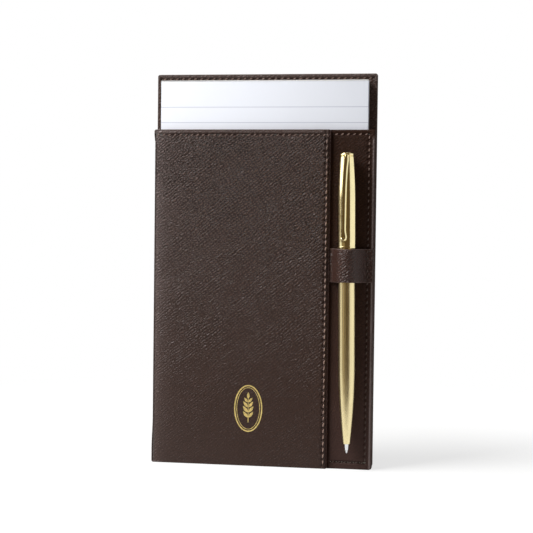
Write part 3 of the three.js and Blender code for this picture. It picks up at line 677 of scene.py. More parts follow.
class Panel(NamedTuple):
    """A leather-covered panel that stands in X and Z, with rounded corners and edges and a relief on its front"""

    box: Box
    corner: float
    edge: float
    rows: tuple = ()
    soft: tuple = ()  # for each soft side, how deep and how far it falls off, and how abruptly
    unevenness: float = 0.04
    seed: float = 0.0
    extra: Callable = None
    waist: float = 0.0
    # where the front is painted lighter, as a painted highlight
    painted_highlight: Callable = None

    def outline(self, x, z):
        """A grid point on the rounded outline, and its distance to the outline"""
        x, z, inside = self.rounded(x, z)
        near = max(0.0, 1 - (x - self.box.left) / 12)
        tall = smooth(6, 22, z - self.box.bottom) * smooth(2, 7, self.box.top - z)
        return x + self.waist * near * tall, z, inside

    def rounded(self, x, z):
        box, radius = self.box, self.corner
        near_x = box.left + radius if x < (box.left + box.right) / 2 else box.right - radius
        near_z = box.bottom + radius if z < (box.bottom + box.top) / 2 else box.top - radius
        a = (near_x - x if near_x < (box.left + box.right) / 2 else x - near_x) / radius
        b = (near_z - z if near_z < (box.bottom + box.top) / 2 else z - near_z) / radius
        if a > 0 and b > 0:
            reach = max(a, b)
            out = Vector((x - near_x, z - near_z)).normalized() * radius * reach
            return near_x + out.x, near_z + out.y, radius * (1 - reach)
        return x, z, min(x - box.left, box.right - x, z - box.bottom, box.top - z)

    def relief(self, x, z):
        """How deep the front lies behind its plane, without the rounded edge, and the share of painted groove shade
        there
        """
        s = settings().leather
        box = self.box
        depth = self.unevenness * (1 + noise.noise(Vector((x / 16, z / 16, self.seed))))
        sides = {"left": x - box.left, "right": box.right - x, "bottom": z - box.bottom, "top": box.top - z}
        drops = [d * math.exp(-((max(0.0, sides[side]) / reach) ** p)) for side, d, reach, p in self.soft]
        fall = math.hypot(*drops)
        depth += fall
        taut = 1 - min(1.0, fall / SOFT_SIDE_DEPTH)
        groove = 0.0
        for row in self.rows:
            line, hole = row.nearest(x, z)
            channel, pit = peak(line, CHANNEL_WIDTH), peak(hole, PIT_WIDTH)
            depth += taut * (s.channel / MM * row.channel * channel + s.pinch / MM * pit)
            groove = max(groove, 0.8 * row.channel * channel, pit)
        if self.extra:
            more, share_of_groove = self.extra(x, z)
            depth += more
            groove = max(groove, share_of_groove)
        return depth, groove

    def surface(self, x, z):
        """The front's place in Y at a point away from the edges"""
        return self.box.front + self.relief(x, z)[0]

    def grid(self, bm, lines_x, lines_z, plane, facing, relief):
        # Each vertex keeps its share of painted groove shade and of painted highlight.
        for name in ("groove", "painted_highlight"):
            if name not in bm.verts.layers.float:
                bm.verts.layers.float.new(name)
        layer, painted_highlight = bm.verts.layers.float["groove"], bm.verts.layers.float["painted_highlight"]
        columns, rows = len(lines_x) - 1, len(lines_z) - 1
        made = bmesh.ops.create_grid(bm, x_segments=columns, y_segments=rows, size=1)
        for vert in made["verts"]:
            x = lines_x[round((vert.co.x + 1) / 2 * columns)]
            z = lines_z[round((vert.co.y + 1) / 2 * rows)]
            x, z, inside = self.outline(x, z)
            depth, groove = relief(x, z)
            short = 1 - min(1.0, max(0.0, inside / self.edge))
            depth = (1 - short) * depth + self.edge * (1 - math.sqrt(1 - short * short))
            depth = min(depth, self.box.rear - self.box.front - LEAST_THICKNESS)
            vert.co = (x, plane + facing * depth, z)
            vert[layer] = groove
            vert[painted_highlight] = self.painted_highlight(x, z) if self.painted_highlight and facing > 0 else 0.0

    def build(self, lines_x, lines_z, rear_relief=None):
        bm = bmesh.new()
        self.grid(bm, lines_x, lines_z, self.box.front, 1, self.relief)
        if rear_relief:
            self.grid(bm, lines_x, lines_z, self.box.rear, -1, rear_relief)
            bmesh.ops.bridge_loops(bm, edges=[e for e in bm.edges if e.is_boundary])
        else:
            made = bmesh.ops.extrude_edge_only(bm, edges=[e for e in bm.edges if e.is_boundary])
            for vert in new_verts(made):
                vert.co.y = self.box.rear
            bmesh.ops.edgeloop_fill(bm, edges=[e for e in bm.edges if e.is_boundary])
        return bm


def stitch(bm, middle, along, out, size):
    """One stitch: a lens of thread between two needle holes."""
    across = along.cross(out).normalized()
    turn = Matrix((across, out, along)).transposed().to_4x4()
    place = Matrix.Translation(middle) @ turn @ Matrix.Diagonal((*size, 1))
    bmesh.ops.create_uvsphere(bm, u_segments=8, v_segments=6, radius=1, matrix=place, calc_uvs=True)


def stitch_row(bm, row, surface, facing=-1, seed=1):
    """The stitches of a row, each a little different, slanted as a pricking iron leaves them."""
    s = settings().leather
    draw = random.Random(seed)
    half_width = 0.5 * s.stitch_width / MM
    for index in range(row.count):
        start, end = row.hole(index), row.hole(index + 1)
        middle = (start + end) / 2
        heading = math.atan2(end.y - start.y, end.x - start.x)
        slant = row.slant * draw.uniform(0.8, 1.2)
        upright = abs(math.sin(heading)) > 0.5
        heading += -slant * 0.5 if upright and math.sin(heading) > 0 else slant * 0.5 if upright else slant
        along = Vector((math.cos(heading), 0, math.sin(heading)))
        long = (end - start).length * row.reach * draw.uniform(0.94, 1.05)
        place = Vector((middle.x, surface(middle.x, middle.y) + facing * STITCH_LIFT, middle.y))
        size = (half_width * draw.uniform(0.9, 1.1), half_width * 0.9, long / 2)
        stitch(bm, place, along, Vector((0, facing, 0)), size)


def towards(angle):
    return Vector((math.cos(angle), math.sin(angle)))


def headings(line):
    """Each point of a line, with the line's direction there."""
    for index, point in enumerate(line):
        before, after = line[max(index - 1, 0)], line[min(index + 1, len(line) - 1)]
        yield point, (after - before).normalized()


def skin(sections):
    """A closed skin over sections, which are rings of as many points each."""
    bm = bmesh.new()
    around, along = len(sections[0]), len(sections) - 1
    made = bmesh.ops.create_grid(bm, x_segments=around, y_segments=along, size=1)
    for vert in made["verts"]:
        i = round((vert.co.x + 1) / 2 * around)
        j = round((vert.co.y + 1) / 2 * along)
        vert.co = sections[j][i % around]
    bmesh.ops.remove_doubles(bm, verts=bm.verts, dist=1e-4)
    bmesh.ops.holes_fill(bm, edges=[e for e in bm.edges if e.is_boundary], sides=0)
    return bm


def turned(profile, steps=96):
    """A body turned about the pen's line from pairs of a radius and a height, closed on itself or on the axis."""
    bm = bmesh.new()
    verts = [bm.verts.new((radius, 0, height)) for radius, height in profile]
    edges = [bm.edges.new(pair) for pair in zip(verts, verts[1:])]
    if profile[0][0] > 0:
        edges.append(bm.edges.new((verts[-1], verts[0])))
    line = {"cent": (0, 0, 0), "axis": (0, 0, 1), "dvec": (0, 0, 0)}
    bmesh.ops.spin(bm, geom=verts + edges, angle=FULL_TURN, steps=steps, use_merge=True, **line)
    bmesh.ops.remove_doubles(bm, verts=bm.verts, dist=1e-4)
    return bm


def arc(centre, radius, start, end, steps):
    """Points of an arc in radius and height, from one angle to another in degrees."""
    angles = [math.radians(start + (end - start) * k / steps) for k in range(steps + 1)]
    return [(centre[0] + radius * math.cos(a), centre[1] + radius * math.sin(a)) for a in angles]


def lean(bm):
    bmesh.ops.transform(bm, matrix=PEN_PLACE, verts=bm.verts)
    return bm


# ---------------------------------------------------------------- the leather work

HEM, HEM_GAP, HEM_DEPTH = LINING.left - BOARD.left, 0.45, 0.75
MITRE_DEPTH, MITRE_STEP, MITRE_WIDTH = 0.3, 0.12, 0.22
FOLD_REACH, FOLD_DEPTH, FOLD_WIDTH = 3.2, 0.16, 0.25
MAIN_ROW_INSET, MOUTH_INSET = 2.4, 2.6
PEN_ROW_X, PEN_TOP_Z, PEN_BOTTOM_Z = 49.8, 155.1, 3.2

BOARD_ROW = Row((BOARD.left + 1.9, BOARD.top - 2.2), (BOARD.right - 1.9, BOARD.top - 2.2), 3.0)
MAIN_ROW_X, MOUTH_ROW_Z = MAIN.right - MAIN_ROW_INSET, MAIN.top - MOUTH_INSET
MOUTH_ROW = Row((MAIN.left + 0.5, MOUTH_ROW_Z), (MAIN_ROW_X, MOUTH_ROW_Z), 2.75, groove_z=0.2)
MAIN_ROW = Row(
    (MAIN_ROW_X, 1.6), (MAIN_ROW_X, MAIN.top - 1.2), 2.9, UPRIGHT_SLANT, 0.66, groove_x=-0.65, channel=0.3
)
PEN_TOP_ROW = Row((MAIN.right + 0.4, PEN_TOP_Z), (PEN_ROW_X, PEN_TOP_Z), 2.8, reach=0.5, channel=0.5)
PEN_ROW = Row(
    (PEN_ROW_X, PEN_BOTTOM_Z), (PEN_ROW_X, PEN_TOP_Z), 2.93, UPRIGHT_SLANT, 0.5, groove_x=-0.45, channel=0.2
)
PEN_BOTTOM_ROW = Row((MAIN.right + 0.8, PEN_BOTTOM_Z), (PEN_ROW_X, PEN_BOTTOM_Z), 2.7)


def board_rear(x, z):
    """The rear of the back board: the hems stand round the lining and meet in a mitre at each corner, with painted
    shade in the mitres and along the stitches.
    """
    from_side = min(x - BOARD.left, BOARD.right - x)
    from_end = min(z - BOARD.bottom, BOARD.top - z)
    depth = HEM_DEPTH * within(min(from_side, from_end) - HEM + HEM_GAP)
    groove = 0.0
    if from_side < HEM and from_end < HEM:
        off = abs(from_side - from_end) / math.sqrt(2)
        crease = peak(off, MITRE_WIDTH) * min(1.0, max(from_side, from_end) / 1.2)
        depth += MITRE_DEPTH * crease
        depth += MITRE_STEP if from_side < from_end else 0.0
        groove = 0.8 * crease
    line, hole = BOARD_ROW.nearest(x, z)
    channel, pit = peak(line, 0.55), peak(hole, 0.34)
    return depth + 0.16 * channel + 0.2 * pit, max(groove, 0.35 * channel, pit)


def board_fold(x, z):
    """The short diagonal fold at each upper corner of the back board's front, with painted shade in its crease."""
    from_side, from_top = min(x - BOARD.left, BOARD.right - x), BOARD.top - z
    off = abs(from_side - from_top) / math.sqrt(2)
    reach = max(0.0, 1 - max(from_side, from_top) / FOLD_REACH)
    crease = peak(off, FOLD_WIDTH) * min(1.0, 3 * reach)
    return FOLD_DEPTH * crease, 0.5 * crease


def board_painted_highlight(x, z):
    """The board's top is painted a little lighter: a painted highlight where it faces up to the light."""
    return 0.25 * math.exp(-(BOARD.top - z) / 2.5)


class NOTEHOLDER_OT_back_board(bpy.types.Operator):
    """Add the leather-covered back board with its turned hems"""

    bl_idname = "note_holder.back_board"
    bl_label = "Back Board"

    def execute(self, context):
        s = settings().leather
        edge = s.edge / MM
        soft = [("top", 0.3, 0.8, 1)]
        panel = Panel(BOARD, 1.0, edge, [BOARD_ROW], soft, 0.03, 3.0, extra=board_fold, painted_highlight=board_painted_highlight)
        hems_x = [(BOARD.left, BOARD.left + HEM + 0.5, 0.4), (BOARD.right - HEM - 0.6, BOARD.right, 0.4)]
        hems_z = [(BOARD.bottom, BOARD.bottom + HEM + 0.5, 0.4), (BOARD.top - HEM - 0.6, BOARD.top, 0.4)]
        lines_x = grid_lines(BOARD.left, BOARD.right, edge, 0.75, hems_x)
        lines_z = grid_lines(BOARD.bottom, BOARD.top, edge, 6.0, hems_z)
        bm = panel.build(lines_x, lines_z, board_rear)
        finish_piece(bm, "back_board_cover", HOLDER, main_leather(), ["back_cover_leather"])
        rows = bmesh.new()
        stitch_row(rows, BOARD_ROW, panel.surface, seed=11)
        stitch_row(rows, BOARD_ROW, lambda x, z: BOARD.rear - board_rear(x, z)[0], facing=1, seed=12)
        finish_piece(rows, "back_board_stitching", HOLDER, material(thread))
        dress("back_lining", material(suede, "rear_lining", tuple(s.lining)))
        return {"FINISHED"}


def wall_painted_highlight(x, z):
    """A painted highlight: a light line painted along the pocket's right-hand edge."""
    return 0.95 * peak(WALL.right - x - 0.62, 0.36) * smooth(2.5, 5, WALL.top - z)


def wall_bead(x, z):
    """The crease along the pocket's right-hand bead, and the one where the main panel's edge lies on it, both with
    painted shade.
    """
    crease = peak(WALL.right - x - 1.6, 0.3) * smooth(1.5, 4, WALL.top - z)
    seam = peak(x - MAIN.right + 0.4, 0.6)
    return 0.2 * crease + 0.3 * seam, max(0.25 * crease, seam)


WALL_HEM, WALL_HEM_DEPTH = 0.75, 0.42
LOOP_TAIL_LIFT = 0.95  # how far a stitch through the loop's tail stands off the wall


def wall_rear(x, z):
    """The pocket wall's inner side: leather round the edge and hemmed at the mouth, with the lining let in."""
    inside = min(x - WALL.left, WALL.right - x, z, WALL_LINING.top + WALL_HEM + 0.15 - z) - WALL_HEM
    return WALL_HEM_DEPTH * within(inside), 0.0


class NOTEHOLDER_OT_pocket(bpy.types.Operator):
    """Add the pocket's front wall with the pen panel, and finish its sides, base and lining"""

    bl_idname = "note_holder.pocket"
    bl_label = "Pocket"

    def execute(self, context):
        s = settings().leather
        edge = s.edge / MM
        rows = [PEN_TOP_ROW, PEN_ROW, PEN_BOTTOM_ROW]
        panel = Panel(WALL, 0.9, edge, rows, unevenness=0.03, seed=7.0, extra=wall_bead, painted_highlight=wall_painted_highlight)
        beside, beyond = MAIN.right + 1, PEN_ROW_X - 1.4
        bands = [(WALL.left, WALL.left + 1.6, 0.2), (MAIN.right - 2, beside, 0.3)]
        bands += [(beside, beyond, 0.6), (beyond, WALL.right, 0.3)]
        lines_x = grid_lines(WALL.left, WALL.right, edge, 9.0, bands)
        ends = [(0, 4.8, 0.3), (WALL_LINING.top - 1, WALL.top, 0.3)]
        lines_z = grid_lines(WALL.bottom, WALL.top, edge, 0.38, ends)
        bm = panel.build(lines_x, lines_z, wall_rear)
        finish_piece(bm, "pocket_wall", HOLDER, panel_leather(), ["pocket_front_leather"])

        threads = bmesh.new()
        stitch_row(threads, PEN_TOP_ROW, panel.surface, seed=21)
        stitch_row(threads, PEN_ROW, self.over_loop(panel), seed=22)
        stitch_row(threads, PEN_BOTTOM_ROW, panel.surface, seed=23)
        inner = Row((WALL.left + 2.4, MOUTH_ROW_Z), (WALL.right - 2.4, MOUTH_ROW_Z), MOUTH_ROW.pitch)
        stitch_row(threads, inner, lambda x, z: WALL.rear, facing=1, seed=24)
        finish_piece(threads, "pocket_stitching", HOLDER, material(thread, "pocket_thread", 0.18))

        sides = material(leather, "side_leather", tuple(s.main), roughness=(0.7, 0.85), shine=0.05)
        for node in ("left_side_leather", "right_side_leather", "base_leather"):
            dress(node, sides)
        dress("pocket_lining", material(suede, "pocket_suede", tuple(s.lining)))
        lined = material(board_material, "lined_board", (0.03, 0.024, 0.021), (0.05, 0.04, 0.035))
        for node in ("left_side_board", "right_side_board", "pocket_floor_board"):
            dress(node, lined)
        grey = material(board_material, "greyboard", (0.27, 0.24, 0.2), (0.12, 0.1, 0.08))
        for node in ("back_board_core", "pocket_board"):
            dress(node, grey)
        return {"FINISHED"}

    @staticmethod
    def over_loop(panel):
        """The pen panel's surface, with the loop's right-hand tail lying on it."""

        def surface(x, z):
            if LOOP.bottom - 0.5 < z < LOOP.top + 0.5:
                return WALL.front - LOOP_TAIL_LIFT
            return panel.surface(x, z)

        return surface


COVER_SHORT = 0.7  # the main panel's cover stops short of its right face, where the painted edge shadow shows


def main_painted_highlight(x, z):
    """The leather is painted lighter along the padding's left edge and a little at the mouth, more so higher up: a
    painted sheen.
    """
    inside, below = x - MAIN.left, MAIN.top - z
    high = 0.35 + 0.65 * z / MAIN.top
    left = 0.85 * math.exp(-inside / 2.6) + 0.24 * math.exp(-inside / 20)
    return high * min(1.0, left + 0.15 * math.exp(-below / 4))


def painted_edge_shadow(x, z):
    """A painted shadow: the main panel's right-hand edge is painted dark."""
    return 0.0, 0.85 * smooth(-1.9, -1.45, x - MAIN.right)


def main_panel():
    s = settings().leather
    soft = [("left", 1.0, 3.2, 1), ("bottom", 0.3, 1.5, 1), ("top", 0.6, 0.8, 1), ("right", 1.0, 1.0, 1.6)]
    rows = [MOUTH_ROW, MAIN_ROW]
    edge = s.panel_edge / MM
    cover = MAIN._replace(right=MAIN.right - COVER_SHORT)
    return Panel(cover, 0.9, edge, rows, soft, 0.06, seed=1.0, extra=painted_edge_shadow, waist=0.45, painted_highlight=main_painted_highlight)


class NOTEHOLDER_OT_main_panel(bpy.types.Operator):
    """Add the padded main panel with its stitching"""

    bl_idname = "note_holder.main_panel"
    bl_label = "Main Panel"

    def execute(self, context):
        panel = main_panel()
        bands = [(MAIN.left, MAIN.left + 5, 0.4), (MAIN.right - 4.2, MAIN.right, 0.28)]
        lines_x = grid_lines(panel.box.left, panel.box.right, panel.edge, 1.5, bands)
        lines_z = grid_lines(MAIN.bottom, MAIN.top, panel.edge, 0.37, [(MAIN.top - 4.2, MAIN.top, 0.28)])
        bm = panel.build(lines_x, lines_z)
        cover = finish_piece(bm, "main_panel", HOLDER, main_leather(), ["main_panel_leather"])
        threads = bmesh.new()
        stitch_row(threads, MOUTH_ROW, panel.surface, seed=31)
        stitch_row(threads, MAIN_ROW, panel.surface, seed=32)
        finish_piece(threads, "main_panel_stitching", HOLDER, material(thread, "panel_thread", 0.75))
        felt = material(board_material, "felt", (0.13, 0.12, 0.11), (0.2, 0.19, 0.17))
        dress("main_panel_padding", felt)
        return {"FINISHED"}


# ---------------------------------------------------------------- the pen loop

LOOP_THICKNESS, LOOP_EASE, LOOP_EDGE_RADIUS = 0.9, 0.25, 0.24
LOOP_WAIST, LOOP_CUT_EDGE = 0.16, 0.55
LOOP_LEFT_FOOT, LOOP_RIGHT_FOOT = 1.1, 8.0
LOWER_RADIUS, UPPER_RADIUS = 3.85, 4.22


def loop_line():
    """The band's centreline as seen from above: a tail, a foot, over the pen, a foot and the other tail."""
    middle_z = (LOOP.bottom + LOOP.top) / 2
    pen = PEN_TIP + PEN_AXIS * ((middle_z - PEN_TIP.z) / PEN_AXIS.z)
    centre = Vector((pen.x, pen.y))
    radius = LOWER_RADIUS + LOOP_EASE + LOOP_THICKNESS / 2
    tail_y = LOOP.rear - LOOP_THICKNESS / 2
    feet = [Vector((MAIN.right + LOOP_LEFT_FOOT, tail_y)), Vector((centre.x + LOOP_RIGHT_FOOT, tail_y))]
    ends = [Vector((LOOP.left, tail_y)), Vector((LOOP.right, tail_y))]

    def touch(foot, side):
        out = foot - centre
        at = math.atan2(out.y, out.x) + side * math.acos(radius / out.length)
        return at, centre + radius * towards(at)

    (start, left), (stop, right) = touch(feet[0], 1), touch(feet[1], -1)
    while stop < start:
        stop += FULL_TURN
    over = [centre + radius * towards(start + (stop - start) * k / 40) for k in range(41)]

    def straight(a, b, steps):
        return [a.lerp(b, k / steps) for k in range(steps)]

    def bent(before, foot, after, steps=8, reach=1.5):
        a = foot + (before - foot).normalized() * reach
        c = foot + (after - foot).normalized() * reach
        return [a.lerp(foot, t).lerp(foot.lerp(c, t), t) for t in (k / steps for k in range(steps + 1))]

    first, last = bent(ends[0], feet[0], left), bent(right, feet[1], ends[1])
    return [
        *straight(ends[0], first[0], 6),
        *first,
        *straight(first[-1], left, 4)[1:],
        *over,
        *straight(right, last[0], 4)[1:],
        *last,
        *straight(last[-1], ends[1], 6)[1:],
        ends[1],
    ]


class NOTEHOLDER_OT_pen_loop(bpy.types.Operator):
    """Add the leather loop that holds the pen"""

    bl_idname = "note_holder.pen_loop"
    bl_label = "Pen Loop"

    def execute(self, context):
        s = settings().leather
        line = loop_line()
        sections = []
        for index, (point, along) in enumerate(headings(line)):
            out = Vector((along.y, -along.x))
            shrink = LOOP_WAIST * math.exp(-(((index / len(line)) - 0.5) ** 2) / 0.03)
            ring = self.section(LOOP.bottom + shrink, LOOP.top - shrink)
            sections.append([Vector((point.x + out.x * o, point.y + out.y * o, z)) for o, z in ring])
        bm = skin(sections)
        arc_map = bm.loops.layers.uv.new("hide")
        run = [0.0]
        for a, b in zip(line, line[1:]):
            run.append(run[-1] + (b - a).length)
        for face in bm.faces:
            for corner in face.loops:
                place = corner.vert.co
                nearest = min(range(len(line)), key=lambda k: (line[k] - place.xy).length_squared)
                corner[arc_map].uv = (run[nearest] * MM, place.z * MM)
            z = face.calc_center_median().z
            if z > LOOP.top - LOOP_CUT_EDGE or z < LOOP.bottom + LOOP_CUT_EDGE:
                face.material_index = 1
        worn = {"worn_to": 0.9, "depth_share": 0.6, "roughness": (0.36, 0.46), "shine": 0.32}
        body = material(leather, "loop_leather", tuple(s.loop), follow="hide", **worn)
        edge = material(leather, "loop_edge", tuple(s.cut_edge), depth_share=0.3, follow="hide")
        finish_piece(bm, "pen_loop_band", HOLDER, [body, edge], ["pen_loop"])
        return {"FINISHED"}

    @staticmethod
    def section(low, high):
        """The band's section, as pairs of how far out a point lies and its height."""
        half, radius = LOOP_THICKNESS / 2, LOOP_EDGE_RADIUS
        outer = [low + radius + (high - low - 2 * radius) * k / 10 for k in range(11)]

        def corner(out, up, start):
            angles = [math.radians(start + 90 * k / 4) for k in range(1, 4)]
            return [(out + radius * math.cos(a), up + radius * math.sin(a)) for a in angles]

        return [
            *[(half, z) for z in outer],
            *corner(half - radius, high - radius, 0),
            *corner(-half + radius, high - radius, 90),
            *[(-half, z) for z in reversed(outer)],
            *corner(-half + radius, low + radius, 180),
            *corner(half - radius, low + radius, 270),
        ]


# ---------------------------------------------------------------- the ornament


FOIL_THICKNESS, FOIL_SINK = 0.06, 0.01
OUTER_STROKE, INNER_STROKE, OVAL_GAP = 0.62, 0.26, 2.3
STEM_LOW, STEM_HIGH = (-6.6, 0.2), (4.6, 0.12)  # height and half width
LEAF_PAIRS = ((-4.2, 3.5, 1.35), (-1.8, 3.7, 1.4), (0.6, 3.4, 1.3), (2.9, 2.8, 1.1))  # height, length and width
TOP_LEAF = (3.1, 1.3)
LEAF_START, LEAF_TURN = 0.25, 52  # out from the stem's middle, and up from level


def thicken(bm, faces):
    made = bmesh.ops.extrude_face_region(bm, geom=faces)
    bmesh.ops.translate(bm, vec=(0, -FOIL_THICKNESS, 0), verts=new_verts(made))
    return bm


def plate(outline):
    """A thin plate of foil in X and Z from a convex outline, with its front in front of Y 0."""
    bm = bmesh.new()
    return thicken(bm, [bm.faces.new([bm.verts.new((x, 0, z)) for x, z in outline])])


def oval_ring(width, height, stroke, steps=96):
    """A flat oval ring of foil."""
    bm = bmesh.new()
    for inset in (0, stroke):
        made = bmesh.ops.create_circle(bm, segments=steps, radius=1)
        for vert in made["verts"]:
            vert.co = (vert.co.x * (width / 2 - inset), 0, vert.co.y * (height / 2 - inset))
    bmesh.ops.bridge_loops(bm, edges=list(bm.edges))
    return thicken(bm, list(bm.faces))


def leaf_outline(long, wide, steps=8):
    """A leaf from its stem end at the origin to its point, along X."""
    xs = [k / steps for k in range(steps + 1)]
    side = [(long * t, wide / 2 * math.sin(math.pi * t**0.8)) for t in xs]
    return side + [(x, -z) for x, z in reversed(side[1:-1])]


def gather(target, source, matrix=None):
    """Adds one bmesh to another."""
    if matrix:
        bmesh.ops.transform(source, matrix=matrix, verts=source.verts)
    bmesh.ops.recalc_face_normals(source, faces=source.faces)
    mesh = mesh_of(source, "part")
    target.from_mesh(mesh)
    bpy.data.meshes.remove(mesh)


class NOTEHOLDER_OT_ornament(bpy.types.Operator):
    """Add a plain oval with a leafy sprig, pressed in gold foil"""

    bl_idname = "note_holder.ornament"
    bl_label = "Ornament"

    def execute(self, context):
        s = settings().ornament
        width, height = s.width / MM, s.height / MM
        whole = bmesh.new()
        gather(whole, oval_ring(width, height, OUTER_STROKE))
        gather(whole, oval_ring(width - OVAL_GAP, height - OVAL_GAP, INNER_STROKE))

        (low, foot), (high, tip) = STEM_LOW, STEM_HIGH
        gather(whole, plate([(-foot, low), (foot, low), (tip, high), (-tip, high)]))
        for up, long, wide in LEAF_PAIRS:
            for side, turn in ((LEAF_START, -LEAF_TURN), (-LEAF_START, LEAF_TURN - 180)):
                self.leaf(whole, (side, 0, up), turn, long, wide)
        self.leaf(whole, (0, 0, high), -90, *TOP_LEAF)
        bmesh.ops.triangulate(whole, faces=[f for f in whole.faces if len(f.verts) > 4])

        panel = main_panel()
        middle = Vector((MAIN.left + s.across / MM, 0, s.up / MM))
        for vert in whole.verts:
            place = vert.co + middle
            vert.co = (place.x, panel.surface(place.x, place.z) + place.y + FOIL_SINK, place.z)
        finish_piece(whole, "foil_ornament", HOLDER, material(foil), closed=False)
        return {"FINISHED"}

    @staticmethod
    def leaf(whole, stem_end, degrees, long, wide):
        place = Matrix.Translation(stem_end) @ Matrix.Rotation(math.radians(degrees), 4, "Y")
        gather(whole, plate(leaf_outline(long, wide)), place)


# ---------------------------------------------------------------- the note pad


LEAF_SLIP, LEAF_GAP = 0.09, 0.012


class NOTEHOLDER_OT_note_pad(bpy.types.Operator):
    """Add the pad's ruled sheets, and finish its backing card and glued edge"""

    bl_idname = "note_holder.note_pad"
    bl_label = "Note Pad"

    def execute(self, context):
        s = settings().pad
        draw = random.Random(5)
        bevel = {"offset": 0.05, "offset_type": "OFFSET", "segments": 2, "profile": 0.5}
        thick = (SHEETS.rear - SHEETS.front) / s.layers
        block = bmesh.new()
        for layer in range(s.layers):
            front = SHEETS.front + layer * thick
            slip = LEAF_SLIP if layer else 0
            left, right = SHEETS.left + draw.uniform(0, slip), SHEETS.right - draw.uniform(0, slip)
            bottom, top = SHEETS.bottom + draw.uniform(0, slip), SHEETS.top
            middle = Vector(((left + right) / 2, front + thick / 2, (bottom + top) / 2))
            size = (right - left, thick - LEAF_GAP, top - bottom)
            leaf = bmesh.new()
            bmesh.ops.create_cube(leaf, size=1, matrix=Matrix.Translation(middle) @ Matrix.Diagonal((*size, 1)))
            bmesh.ops.bevel(leaf, geom=list(leaf.edges), affect="EDGES", material=-1, **bevel)
            gather(block, leaf)
        finish_piece(block, "pad_leaves", PAD, material(paper), ["pad_sheets"], closed=False)
        card = material(board_material, "backing_card", (0.4, 0.35, 0.28), (0.25, 0.2, 0.15))
        dress("pad_backing_card", card)
        dress("pad_glue_edge", material(glue))
        return {"FINISHED"}


# ---------------------------------------------------------------- the pen

# Sizes in millimetres, and heights along the pen's line from the point of the ball
RIM = 94.35
HEAD_END = RIM + 42.05
HEAD_RADIUS, HEAD_TAPER, HEAD_POWER = 3.35, 20.0, 1.8
UPPER_WALL, LOWER_WALL = 0.7, 0.7
RIM_BAND, RIM_GROOVE, CHAMFER = 0.8, 0.18, 0.12
NOSE_START, NOSE_RADIUS, NOSE_LENGTH, NOSE_POWER = 4.35, 1.6, 38.0, 2.1
CAP_HEIGHT, CAP_DOME, CAP_PLUG, GLUE_LINE = 1.6, 0.9, 5.0, 0.1
PLUG_RADIUS = HEAD_RADIUS - UPPER_WALL - 0.2
CLIP_TURN, CLIP_DRIFT, CLIP_DRIFT_LENGTH = math.radians(7), 1.55, 9.5
CLIP_THICKNESS, CLIP_TAB, CLIP_SHOULDER, CLIP_NECK, CLIP_TONGUE = 0.6, 1.7, 2.15, 1.85, 2.75
CLIP_TAB_REACH, CLIP_SHOULDER_DROP, CLIP_TONGUE_LENGTH, CLIP_END = 1.3, 2.6, 4.6, 3.6
CLIP_STAND_OFF, CLIP_TIP_LIFT, CLIP_BEND_SHARE, SEAT_GAP = 1.1, 1.1, 0.25, 0.3


def power_taper(end_radius, body_radius, long, power, steps):
    """Pairs of a radius and a distance from the end of a barrel that widens to its body."""
    shares = [k / steps for k in range(steps + 1)]
    return [(end_radius + (body_radius - end_radius) * (1 - (1 - t) ** power), t * long) for t in shares]


